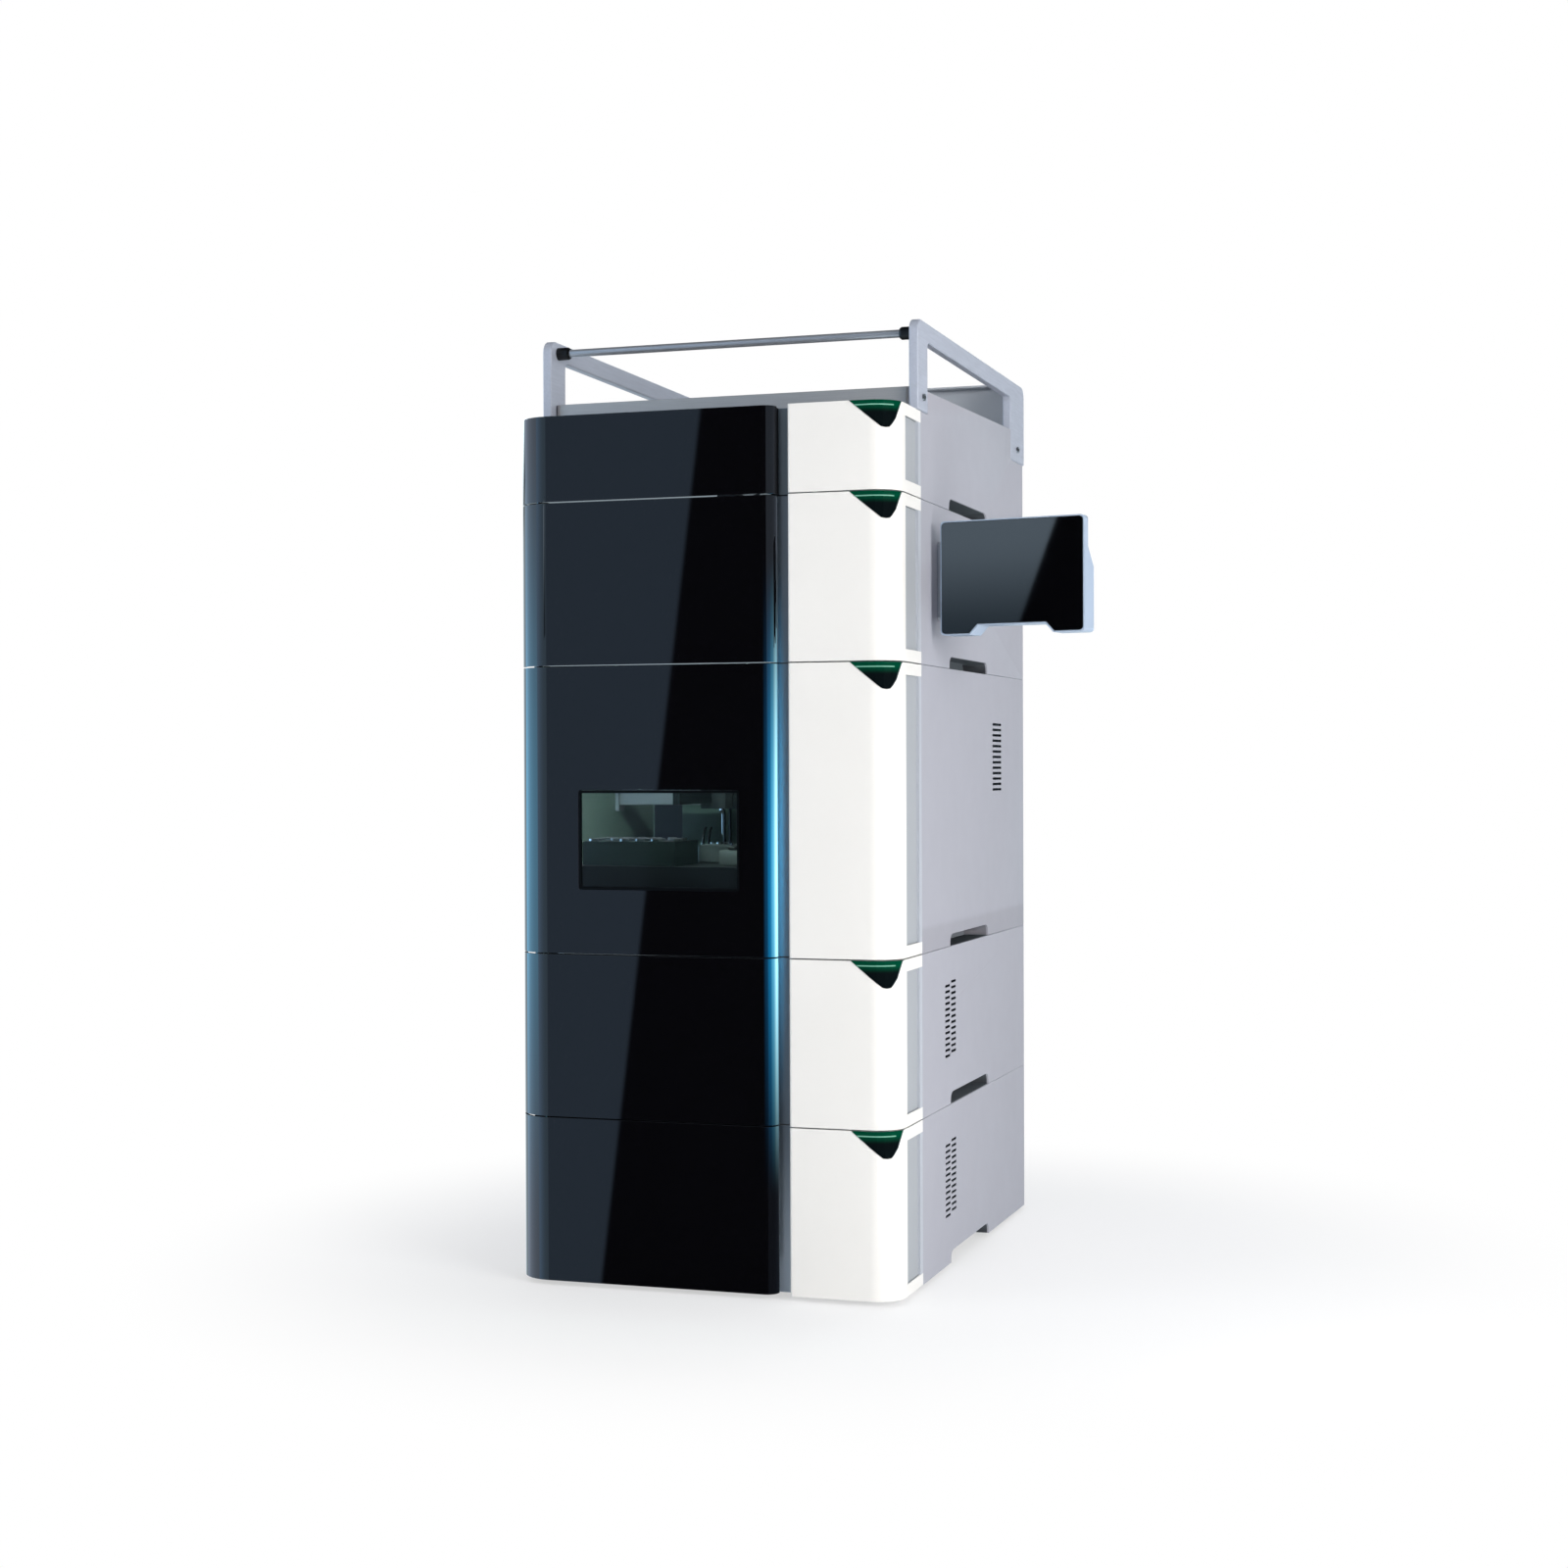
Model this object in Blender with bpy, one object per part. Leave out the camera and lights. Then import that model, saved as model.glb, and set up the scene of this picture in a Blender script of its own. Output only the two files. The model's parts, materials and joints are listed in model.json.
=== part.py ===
"""Liquid chromatography stack: five bench modules, a bottle rack on top and a swivelling touch display.

Metres, +Z up. The fronts face -Y and the display hangs on the right side, +X.
"""

import math

import bmesh
import bpy
from mathutils import Matrix, Vector

# Stack
body_width = 0.420
body_depth = 0.590
foot_height = 0.005
foot_radius = 0.014
foot_inset = 0.045
foot_setback = 0.006
pump_height = 0.172
column_height = 0.171
sampler_height = 0.300
detector_height = 0.171
tray_height = 0.091
casing_wall = 0.0025
clearance = 0.0003
seam = 0.0014
rear_corner_radius = 0.012

# Fronts
door_skin = 0.003
door_front_corner = 0.040
door_return = 0.050
door_edge_radius = 0.012
door_edge_depth = 0.014
door_flange_depth = 0.008
door_flange_thickness = 0.0025
side_panel_front_left = 0.0645
fascia_width = 0.1145
channel_width = 0.0155
channel_depth = 0.018
fascia_skin = 0.003
fascia_corner = 0.030
fascia_return = 0.0947
grip_front = 0.034
grip_rear = 0.084
grip_depth = 0.0028
grip_end = 0.013
badge_left_inset = 0.0494
badge_right_inset = 0.0008
badge_foot_inset = 0.0128
badge_drop = 0.0277
badge_proud = 0.0006

# Door hinges
hinge_inset = 0.010
hinge_from_front = 0.052
hinge_pin_radius = 0.003
hinge_running_gap = 0.0004
knuckle_radius = 0.0075
lug_thickness = 0.006
lug_radius = 0.0062
lug_root = 0.005
notch_height = 0.0072
notch_from_front = 0.030

# Compartments behind the doors
liner_wall = 0.002
liner_front = 0.016
liner_floor_rise = 0.0155
plate_lip = 0.0002
pump_bay = 0.250
column_bay = 0.250
sampler_bay = 0.400
detector_bay = 0.250
tray_bay = 0.180

# Hand-holds along the bottom edge of both sides
grab_front = 0.213
grab_rear = 0.389
grab_height = 0.0127
grab_depth = 0.028
grab_corner = 0.009
grab_hood = 0.002

# Side vents
vent_pitch = 0.0063
vent_slot_height = 0.0026
sampler_vent_front = 0.415
sampler_vent_rear = 0.460
sampler_vent_rise = 0.166
sampler_vent_rows = 13
small_vent_front = 0.190
small_vent_length = 0.021
small_vent_step = 0.026
small_vent_rise = 0.052
small_vent_rows = 13

# Rear panels
rear_margin_x = 0.020
rear_margin_z = 0.014
rear_plate = 0.002
fan_radius = 0.038
grille_slots = 8
grille_slot_height = 0.0055
inlet_width = 0.028
inlet_height = 0.022
inlet_depth = 0.016
port_width = 0.044
port_height = 0.013

# Bottle tray and its rail frame
rim_thickness = 0.010
tub_depth = 0.049
tub_rear_inset = 0.025
side_wall_rise_front = 0.024
side_wall_rise_rear = 0.036
bottle_tray_wall = 0.002
bottle_tray_rise = 0.026
frame_top = 0.095
frame_front = 0.0853
frame_front_leg = 0.039
frame_rear_leg = 0.073
frame_rear_inset = 0.002
frame_rail = 0.020
frame_corner = 0.013
frame_window_corner = 0.007
back_plate_inset = 0.020
back_plate_thickness = 0.003
back_plate_rise = 0.0975
back_plate_flange = 0.012
rod_radius = 0.0042
rod_from_front = 0.1045
rod_drop = 0.0125
rod_cap_radius = 0.0068
rod_cap_length = 0.014

# Autosampler
window_left_inset = 0.0755
window_right_inset = 0.0367
window_bottom = 0.0672
window_top = 0.1710
window_corner = 0.003
window_lap = 0.005
window_thickness = 0.0025
deck_top = 0.0875
deck_thickness = 0.004
deck_front = 0.100
rack_columns = 6
rack_rows = 4
rack_pitch = 0.018
rack_height = 0.026
rack_hole_radius = 0.0062
rack_inset = 0.030
rack_front = 0.120
gantry_y = 0.286
gantry_z = 0.161
rail_half_depth = 0.006
rail_half_height = 0.010
rail_corner = 0.001
gantry_plate = 0.004
gantry_plate_height = 0.034
carriage_width = 0.030
beam_width = 0.008
beam_height = 0.014
beam_offset = 0.013
needle_block_depth = 0.024
needle_block_height = 0.026
needle_wall = 0.004
needle_rod_radius = 0.0035
needle_radius = 0.0008
needle_head_radius = 0.006
needle_head_height = 0.006
needle_tip_height = 0.118
needle_travel = 0.022
rest_beside_rack = 0.017
rest_y = 0.225
beam_travel = 0.096
port_block_width = 0.044
port_block_depth = 0.040
port_block_height = 0.020
port_radius = 0.0045
port_floor = 0.004

# Pump
head_radius = 0.021
head_length = 0.046
head_spacing = 0.062
head_z = 0.085
head_inset = 0.110
valve_radius = 0.0065
valve_height = 0.018
purge_inset = 0.070
purge_knob_radius = 0.011
purge_knob_length = 0.020
button_inset = 0.030
button_z = 0.130
button_radius = 0.008
button_travel = 0.003
button_proud = 0.0025
button_boss = 0.010
button_rim = 0.003

# Column compartment
column_radius = 0.0055
column_length = 0.150
column_nut_radius = 0.0075
column_nut_length = 0.012
column_z = 0.090
column_inset = 0.140
heater_height = 0.076
heater_depth = 0.045

# Detector
cell_inset = 0.150
cell_z = 0.088
cell_width = 0.070
cell_height = 0.040
cell_depth = 0.050

# Touch display
display_width = 0.160
display_height = 0.119
display_thin = 0.012
display_thick = 0.028
display_step = 0.032
display_corner = 0.004
display_yaw = 10.0
display_outside = 0.0905
display_y = 0.1135
display_z = 0.7335
display_border = 0.0016
glass_thickness = 0.0018
scallop_width = 0.074
scallop_depth = 0.0095
scallop_slope = 0.009
tilt_axis_behind = 0.034
tilt_pin_radius = 0.003
ear_width = 0.006
ear_spacing = 0.030
swivel_outside = 0.0235
swivel_y = 0.190
swivel_pin_radius = 0.004
swivel_boss_radius = 0.010
arm_height = 0.024
neck_radius = 0.0055
neck_length = 0.026
bracket_plate = 0.005
bracket_width = 0.060
bracket_height = 0.084

half = body_width / 2
door_edge = half - fascia_width - channel_width
badge_left = half - badge_left_inset
badge_right = half - badge_right_inset
badge_bottom = half - badge_foot_inset
tub_rear = body_depth - tub_rear_inset
frame_rear = body_depth - frame_rear_inset
back_plate_y = body_depth - back_plate_inset
window_left = -half + window_left_inset
window_right = door_edge - window_right_inset
rack_left = -half + rack_inset
rest_x = rack_left + rack_columns * rack_pitch + rest_beside_rack
head_x = -half + head_inset
purge_x = door_edge - purge_inset
button_x = door_edge - button_inset
column_x = -half + column_inset
cell_x = -half + cell_inset
display_x = half + display_outside
swivel_x = half + swivel_outside
rear_limit = body_depth + 0.0015
display_turn = math.radians(display_yaw)
display_half_span = math.cos(display_turn) * display_width / 2
display_reach = display_x + display_half_span + math.sin(display_turn) * display_thick
stack_centre_x = (display_reach - half) / 2
stack_centre_y = rear_limit / 2 - badge_proud / 2


def clear_scene():
    for obj in list(bpy.data.objects):
        bpy.data.objects.remove(obj, do_unlink=True)


def make_material(name, colour, roughness, metallic=0.0):
    material = bpy.data.materials.new(name)
    material.use_nodes = True
    shader = material.node_tree.nodes["Principled BSDF"]
    shader.inputs["Base Color"].default_value = (*colour, 1.0)
    shader.inputs["Roughness"].default_value = roughness
    shader.inputs["Metallic"].default_value = metallic
    return material


def make_empty(name, place, turn=0.0, parent=None):
    empty = bpy.data.objects.new(name, None)
    empty.location = place
    empty.rotation_euler = (0.0, 0.0, turn)
    empty.parent = parent
    bpy.context.scene.collection.objects.link(empty)
    return empty


clear_scene()
stack = make_empty("stack_origin", (-stack_centre_x, -stack_centre_y, 0.0))

side_grey = (0.50, 0.51, 0.55)
white = (0.83, 0.82, 0.80)
gloss_black = (0.008, 0.009, 0.013)
liner_grey = (0.12, 0.13, 0.14)
steel_grey = (0.55, 0.56, 0.57)


def link_mesh(name, bm, material=None, parent=stack):
    """Closes the bmesh into a mesh object whose faces point out."""
    bmesh.ops.recalc_face_normals(bm, faces=bm.faces)
    mesh = bpy.data.meshes.new(name)
    bm.to_mesh(mesh)
    bm.free()
    obj = bpy.data.objects.new(name, mesh)
    obj.parent = parent
    if material:
        mesh.materials.append(material)
    bpy.context.scene.collection.objects.link(obj)
    return obj


def as_helper(obj):
    obj.hide_render = True
    obj.display_type = "WIRE"
    return obj


def combine(obj, helper, operation):
    """Adds a Boolean of obj with a helper solid that is not a piece of its own."""
    as_helper(helper)
    modifier = obj.modifiers.new(helper.name, "BOOLEAN")
    modifier.operation = operation
    modifier.object = helper
    return obj


def cut(obj, helper):
    return combine(obj, helper, "DIFFERENCE")


def join(obj, helper):
    return combine(obj, helper, "UNION")


def round_off(obj, width, segments=2, angle=40.0):
    """Rounds the edges sharper than the angle."""
    modifier = obj.modifiers.new("edge rounding", "BEVEL")
    modifier.width = width
    modifier.segments = segments
    modifier.limit_method = "ANGLE"
    modifier.angle_limit = math.radians(angle)
    modifier.harden_normals = False
    return obj


def smooth(obj, angle=35.0):
    obj.data.shade_smooth()
    obj.data.set_sharp_from_angle(angle=math.radians(angle))
    return obj


def set_origin(obj, point):
    """Moves the object's origin to the point and leaves its shape where it is."""
    point = Vector(point)
    obj.data.transform(Matrix.Translation(-point))
    obj.location = point
    return obj


def arc(centre, radius, start, end, steps):
    """Points of an arc in its plane, angles in degrees, both ends included."""
    points = []
    for i in range(steps + 1):
        angle = math.radians(start + (end - start) * i / steps)
        points.append((centre[0] + radius * math.cos(angle), centre[1] + radius * math.sin(angle)))
    return points


def rounded_rectangle(x0, x1, y0, y1, radius, steps=4):
    corners = (
        ((x1 - radius, y0 + radius), -90.0),
        ((x1 - radius, y1 - radius), 0.0),
        ((x0 + radius, y1 - radius), 90.0),
        ((x0 + radius, y0 + radius), 180.0),
    )
    points = []
    for centre, start in corners:
        points += arc(centre, radius, start, start + 90.0, steps)
    return points


def add_prism(bm, outline, low, high, axis="z"):
    """Extrudes a plane outline along an axis: (x, y) along z, (x, z) along y or (y, z) along x."""

    def place(point, along):
        if axis == "z":
            return (point[0], point[1], along)
        if axis == "y":
            return (point[0], along, point[1])
        return (along, point[0], point[1])

    bottom = [bm.verts.new(place(point, low)) for point in outline]
    face = bm.faces.new(bottom)
    grown = bmesh.ops.extrude_face_region(bm, geom=[face])
    verts = [item for item in grown["geom"] if isinstance(item, bmesh.types.BMVert)]
    shift = Vector(place((0.0, 0.0), high - low))
    bmesh.ops.translate(bm, verts=verts, vec=shift)


def add_box(bm, x0, x1, y0, y1, z0, z1):
    add_prism(bm, [(x0, y0), (x1, y0), (x1, y1), (x0, y1)], z0, z1)


def add_cylinder(bm, start, end, radius, segments=20, end_radius=None):
    start = Vector(start)
    end = Vector(end)
    turn = (end - start).to_track_quat("Z", "Y").to_matrix().to_4x4()
    place = Matrix.Translation((start + end) / 2) @ turn
    bmesh.ops.create_cone(
        bm,
        cap_ends=True,
        segments=segments,
        radius1=radius,
        radius2=radius if end_radius is None else end_radius,
        depth=(end - start).length,
        matrix=place,
    )


def prism(name, outline, low, high, axis="z", material=None, parent=stack):
    bm = bmesh.new()
    add_prism(bm, outline, low, high, axis)
    return link_mesh(name, bm, material, parent)


def box(name, x0, x1, y0, y1, z0, z1, material=None, parent=stack):
    bm = bmesh.new()
    add_box(bm, x0, x1, y0, y1, z0, z1)
    return link_mesh(name, bm, material, parent)


def boxes(name, spans, parent=stack):
    """One helper made of boxes that don't touch each other."""
    bm = bmesh.new()
    for span in spans:
        add_box(bm, *span)
    return link_mesh(name, bm, None, parent)


def cylinder(name, start, end, radius, segments=20, material=None, parent=stack, end_radius=None):
    bm = bmesh.new()
    add_cylinder(bm, start, end, radius, segments, end_radius)
    return link_mesh(name, bm, material, parent)


def turned(name, profile, start, direction, segments=24, material=None, parent=stack):
    """Spins a profile of (distance along the axis, radius) points about its axis."""
    bm = bmesh.new()
    verts = [bm.verts.new((radius, 0.0, along)) for along, radius in profile]
    edges = [bm.edges.new(pair) for pair in zip(verts, verts[1:])]
    bmesh.ops.spin(
        bm,
        geom=verts + edges,
        cent=(0.0, 0.0, 0.0),
        axis=(0.0, 0.0, 1.0),
        angle=2 * math.pi,
        steps=segments,
        use_merge=True,
    )
    bmesh.ops.remove_doubles(bm, verts=bm.verts, dist=1e-6)
    turn = Vector(direction).to_track_quat("Z", "Y").to_matrix().to_4x4()
    bm.transform(Matrix.Translation(start) @ turn)
    return link_mesh(name, bm, material, parent)


class Module:
    """One bench unit of the stack: its name, base level, height and compartment depth."""

    def __init__(self, name, base, height, bay):
        self.name = name
        self.base = base
        self.height = height
        self.bay = bay

    @property
    def top(self):
        return self.base + self.height

    @property
    def front_low(self):
        return self.base + seam / 2

    @property
    def front_high(self):
        return self.top - seam / 2

    @property
    def roof(self):
        return self.top - clearance


pump = Module("pump", foot_height, pump_height, pump_bay)
column = Module("column", pump.top, column_height, column_bay)
sampler = Module("sampler", column.top, sampler_height, sampler_bay)
detector = Module("detector", sampler.top, detector_height, detector_bay)
tray = Module("tray", detector.top, tray_height, tray_bay)
modules = (pump, column, sampler, detector, tray)
door_modules = (pump, column, sampler, detector)

button_length = button_boss + button_proud - button_travel - 2 * clearance
hinge_x = -half + hinge_inset
channel_right = door_edge + channel_width
fascia_left = channel_right
liner_left = -half + casing_wall + clearance
liner_right = door_edge - door_skin + liner_wall / 2


def hand_hold_outline(low, grow):
    """The arch of a hand-hold in the (y, z) plane, grown by the wall of its hood."""
    radius = grab_corner + grow
    y0 = grab_front - grow
    y1 = grab_rear + grow
    high = low + grab_height + grow
    start = low - grab_height if grow == 0 else low + casing_wall / 2
    points = [(y0, start), (y1, start)]
    points += arc((y1 - radius, high - radius), radius, 0.0, 90.0, 3)
    points += arc((y0 + radius, high - radius), radius, 90.0, 180.0, 3)
    return points


def vent_slots(unit):
    """Spans of the horizontal slots in the right-hand side wall."""
    x0 = half - 2 * casing_wall
    x1 = half + casing_wall
    spans = []
    if unit is sampler:
        for row in range(sampler_vent_rows):
            z = unit.base + sampler_vent_rise + row * vent_pitch
            spans.append((x0, x1, sampler_vent_front, sampler_vent_rear, z, z + vent_slot_height))
    elif unit in (pump, column):
        for row in range(2 * small_vent_rows):
            z = unit.base + small_vent_rise + row * vent_pitch / 2
            y = small_vent_front + (row % 2) * small_vent_step
            spans.append((x0, x1, y, y + small_vent_length, z, z + vent_slot_height))
    return spans


def casing_outline():
    """Plan of a casing: the right front corner leaves room for the fascia."""
    side_right = fascia_return + clearance
    points = [
        (-half, side_panel_front_left),
        (channel_right - clearance, side_panel_front_left),
        (channel_right - clearance, side_right),
        (half, side_right),
    ]
    radius = rear_corner_radius
    points += arc((half - radius, body_depth - radius), radius, 0.0, 90.0, 4)
    points += arc((-half + radius, body_depth - radius), radius, 90.0, 180.0, 4)
    return points


def rear_bay_outline(unit):
    """Plan of the space behind the bulkhead, with corners that follow the casing's."""
    radius = rear_corner_radius - casing_wall
    x = half - casing_wall
    y = body_depth - casing_wall
    front = unit.bay + clearance + casing_wall
    points = [(-x, front), (x, front)]
    points += arc((x - radius, y - radius), radius, 0.0, 90.0, 4)
    points += arc((-x + radius, y - radius), radius, 90.0, 180.0, 4)
    return points


def rear_opening(unit):
    """Edges of the opening for the rear panel: half width, low and high."""
    low = unit.base + rear_margin_z
    high = unit.top - rear_margin_z
    if unit is tray:
        high = unit.top - tub_depth - 2 * casing_wall - clearance
        low = unit.base + grab_height + grab_hood
    return half - rear_margin_x, low, high


def casing_material():
    return make_material("side panel grey", side_grey, 0.45)


def make_casing(unit):
    """Sheet casing with a front bay, a bulkhead, a rear bay, hand-holds, vents and hinge lugs."""
    casing = prism(
        unit.name + "_casing", casing_outline(), unit.base, unit.roof, material=casing_material()
    )
    inner = half - casing_wall
    low = unit.base + casing_wall
    high = unit.roof - casing_wall
    if unit is tray:
        high = unit.top - tub_depth - casing_wall
    front_bay = box(
        unit.name + "_front_bay", -inner, inner, -0.01, unit.bay + clearance, low, high
    )
    cut(casing, front_bay)
    cut(casing, prism(unit.name + "_rear_bay", rear_bay_outline(unit), low, high))
    for side in (-1, 1):
        x_inner = side * (half - grab_depth - grab_hood)
        x_skin = side * (half - casing_wall / 2)
        hood = prism(
            f"{unit.name}_hood_{side}",
            hand_hold_outline(unit.base, grab_hood),
            min(x_inner, x_skin),
            max(x_inner, x_skin),
            axis="x",
        )
        join(casing, hood)
    for side in (-1, 1):
        x_inner = side * (half - grab_depth)
        x_out = side * (half + casing_wall)
        hold = prism(
            f"{unit.name}_hold_{side}",
            hand_hold_outline(unit.base, 0),
            min(x_inner, x_out),
            max(x_inner, x_out),
            axis="x",
        )
        cut(casing, hold)
    spans = vent_slots(unit)
    if spans:
        cut(casing, boxes(unit.name + "_vents", spans))
    width, panel_low, panel_high = rear_opening(unit)
    opening = box(
        unit.name + "_rear_opening",
        -width,
        width,
        body_depth - 2 * casing_wall,
        body_depth + casing_wall,
        panel_low,
        panel_high,
    )
    cut(casing, opening)
    return casing


def add_hinge_lugs(casing, unit):
    """Two lugs reach forward from the floor and the roof to hold the hinge pin."""
    for name, z0, z1 in (
        ("low", unit.base, unit.base + lug_thickness),
        ("high", unit.roof - lug_thickness, unit.roof),
    ):
        rear = side_panel_front_left + lug_root
        outline = [(hinge_x + lug_radius, hinge_from_front), (hinge_x + lug_radius, rear)]
        outline += [(hinge_x - lug_radius, rear)]
        outline += arc((hinge_x, hinge_from_front), lug_radius, 180.0, 345.0, 8)
        join(casing, prism(f"{unit.name}_lug_{name}", outline, z0, z1))
    bore = cylinder(
        unit.name + "_pin_bore",
        (hinge_x, hinge_from_front, unit.base - lug_thickness),
        (hinge_x, hinge_from_front, unit.top + lug_thickness),
        hinge_pin_radius + clearance,
    )
    cut(casing, bore)


def front_skin_outline(return_end):
    """Plan of a black front: wrapped round the left corner, folded back at the right edge."""
    skin = door_skin
    big = door_front_corner
    small = door_edge_radius
    left = -half
    outer = [(left, return_end)]
    outer += arc((left + big, big), big, 180.0, 270.0, 8)
    outer += arc((door_edge - small, small), small, 270.0, 360.0, 5)
    outer += [(door_edge, door_edge_depth), (door_edge - skin, door_edge_depth)]
    outer += arc((door_edge - small, small), small - skin, 360.0, 270.0, 4)
    outer += arc((left + big, big), big - skin, 270.0, 180.0, 8)
    outer += [(left + skin, return_end)]
    return outer


def flange_outline(depth):
    """Plan of the plate that closes a front at its top or bottom."""
    skin = door_skin - 0.0005
    small = door_edge_radius
    x0 = -half + door_front_corner
    outline = [(x0, depth), (x0, skin)]
    turn = 90.0
    if depth < small:
        turn = math.degrees(math.acos((small - depth) / (small - skin)))
    outline += arc((door_edge - small, small), small - skin, 270.0, 270.0 + turn, 3)
    if depth > small:
        outline += [(door_edge - skin, depth)]
    return outline


def make_door(unit):
    """Gloss black door with a bored knuckle along its left return."""
    black = make_material(unit.name + " door black", gloss_black, 0.08)
    door = prism(
        unit.name + "_door",
        front_skin_outline(door_return),
        unit.front_low,
        unit.front_high,
        material=black,
    )
    for name, z0, z1 in (
        ("low", unit.front_low, unit.front_low + door_flange_thickness),
        ("high", unit.front_high - door_flange_thickness, unit.front_high),
    ):
        outline = flange_outline(door_skin + door_flange_depth)
        join(door, prism(f"{unit.name}_door_flange_{name}", outline, z0, z1))
    knuckle_low = unit.base + lug_thickness + hinge_running_gap
    knuckle_high = unit.roof - lug_thickness - hinge_running_gap
    notches = []
    for z0, z1 in (
        (unit.base - seam, unit.base + notch_height),
        (unit.top - notch_height, unit.top + seam),
    ):
        notches.append((-half - door_skin, hinge_x, notch_from_front, door_return + seam, z0, z1))
    cut(door, boxes(unit.name + "_door_notches", notches))
    axis_low = (hinge_x, hinge_from_front, knuckle_low)
    axis_high = (hinge_x, hinge_from_front, knuckle_high)
    join(door, cylinder(unit.name + "_knuckle", axis_low, axis_high, knuckle_radius, 24))
    bore_low = (hinge_x, hinge_from_front, knuckle_low - seam)
    bore_high = (hinge_x, hinge_from_front, knuckle_high + seam)
    bore_radius = hinge_pin_radius + hinge_running_gap
    cut(door, cylinder(unit.name + "_knuckle_bore", bore_low, bore_high, bore_radius, 20))
    if unit is sampler:
        outline = rounded_rectangle(
            window_left,
            window_right,
            unit.base + window_bottom,
            unit.base + window_top,
            window_corner,
        )
        hole = prism("sampler_window_hole", outline, -door_skin, 3 * door_skin, axis="y")
        cut(door, hole)
    set_origin(smooth(door), (hinge_x, hinge_from_front, unit.base))
    pin = cylinder(
        unit.name + "_hinge_pin",
        (hinge_x, hinge_from_front, unit.base + clearance),
        (hinge_x, hinge_from_front, unit.roof - clearance),
        hinge_pin_radius,
        12,
        material=make_material(unit.name + " pin steel", steel_grey, 0.3, 1.0),
    )
    smooth(pin)
    return door


def make_tray_front():
    """Fixed black front of the top module, with a cover plate that reaches back to its casing."""
    unit = tray
    black = make_material("tray front black", gloss_black, 0.08)
    return_end = side_panel_front_left - clearance
    panel = prism(
        "tray_front_panel",
        front_skin_outline(return_end),
        unit.front_low,
        unit.front_high,
        material=black,
    )
    corner = door_front_corner
    inner = corner - door_skin + 0.0005
    outline = [(-half + corner - inner, return_end)]
    outline += arc((-half + corner, corner), inner, 180.0, 270.0, 8)
    small = door_edge_radius
    outline += arc((door_edge - small, small), small - door_skin + 0.0005, 270.0, 360.0, 4)
    outline += [(door_edge - door_skin + 0.0005, return_end)]
    join(panel, prism("tray_front_cover", outline, unit.front_high - door_skin, unit.front_high))
    low = flange_outline(door_skin + door_flange_depth)
    flange_high = unit.front_low + door_flange_thickness
    join(panel, prism("tray_front_flange", low, unit.front_low, flange_high))
    wall = liner_wall
    left = door_edge - door_skin + 0.0005
    channel = [
        (left, door_edge_depth - wall),
        (left + wall, door_edge_depth - wall),
        (left + wall, channel_depth),
        (channel_right - clearance, channel_depth),
        (channel_right - clearance, channel_depth + wall),
        (left, channel_depth + wall),
    ]
    channel_high = unit.front_high - door_skin / 2
    join(panel, prism("tray_front_channel", channel, unit.front_low, channel_high))
    return smooth(panel)


def make_liner(unit):
    """Moulded compartment behind a door, with the finger channel along its right side."""
    wall = liner_wall
    low = unit.base + liner_floor_rise
    high = unit.roof - casing_wall - clearance
    front = side_panel_front_left + knuckle_radius
    rear = unit.bay
    right = liner_right
    lip = plate_lip
    outline = [
        (liner_left + lip, front + lip),
        (liner_left + wall - lip, front + lip),
        (liner_left + wall - lip, rear - wall + lip),
        (right - wall + lip, rear - wall + lip),
        (right - wall + lip, channel_depth + lip),
        (right - lip, channel_depth + lip),
        (right - lip, rear - lip),
        (liner_left + lip, rear - lip),
    ]
    grey = make_material(unit.name + " liner grey", liner_grey, 0.5)
    liner = prism(unit.name + "_liner", outline, low + lip, high - lip, material=grey)
    cheek = -half + 1.5 * door_front_corner
    floor = [
        (liner_left, front),
        (hinge_x + 1.3 * knuckle_radius, front),
        (cheek, liner_front),
        (right - wall / 2, liner_front),
        (right - wall / 2, rear),
        (liner_left, rear),
    ]
    join(liner, prism(unit.name + "_liner_floor", floor, low, low + wall))
    join(liner, prism(unit.name + "_liner_roof", floor, high - wall, high))
    channel = [
        (right - wall, channel_depth),
        (channel_right - clearance, channel_depth),
        (channel_right - clearance, channel_depth + wall),
        (right, channel_depth + wall),
        (right, side_panel_front_left - clearance),
        (right - wall, side_panel_front_left - clearance),
    ]
    join(liner, prism(unit.name + "_channel", channel, unit.front_low, unit.front_high))
    if unit is pump:
        centre_z = unit.base + button_z
        face = rear - wall
        tip = (button_x, face - button_boss, centre_z)
        boss_radius = button_radius + button_rim
        join(liner, cylinder("button_boss", tip, (button_x, rear - wall / 2, centre_z), boss_radius))
        mouth = (button_x, face - 2 * button_boss, centre_z)
        bore_radius = button_radius + hinge_running_gap
        cut(liner, cylinder("button_bore", mouth, (button_x, face, centre_z), bore_radius, 24))
    return smooth(liner)


def fascia_outline(grow, inward, return_end):
    """Plan of the fascia's skin, from its edge on the channel round the corner to the side."""
    corner = fascia_corner
    edge = 0.0025
    left = fascia_left
    fold = channel_depth + liner_wall + fascia_skin
    outer = [(left, fold), (left, edge - grow)]
    outer += arc((left + edge, edge - grow), edge, 180.0, 270.0, 3)[1:]
    outer += arc((half - corner, corner), corner + grow, 270.0, 360.0, 6)
    outer += [(half + grow, return_end), (half - inward, return_end)]
    outer += arc((half - corner, corner), corner - inward, 360.0, 270.0, 6)
    outer += [(left + inward, inward), (left + inward, fold)]
    return outer


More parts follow.
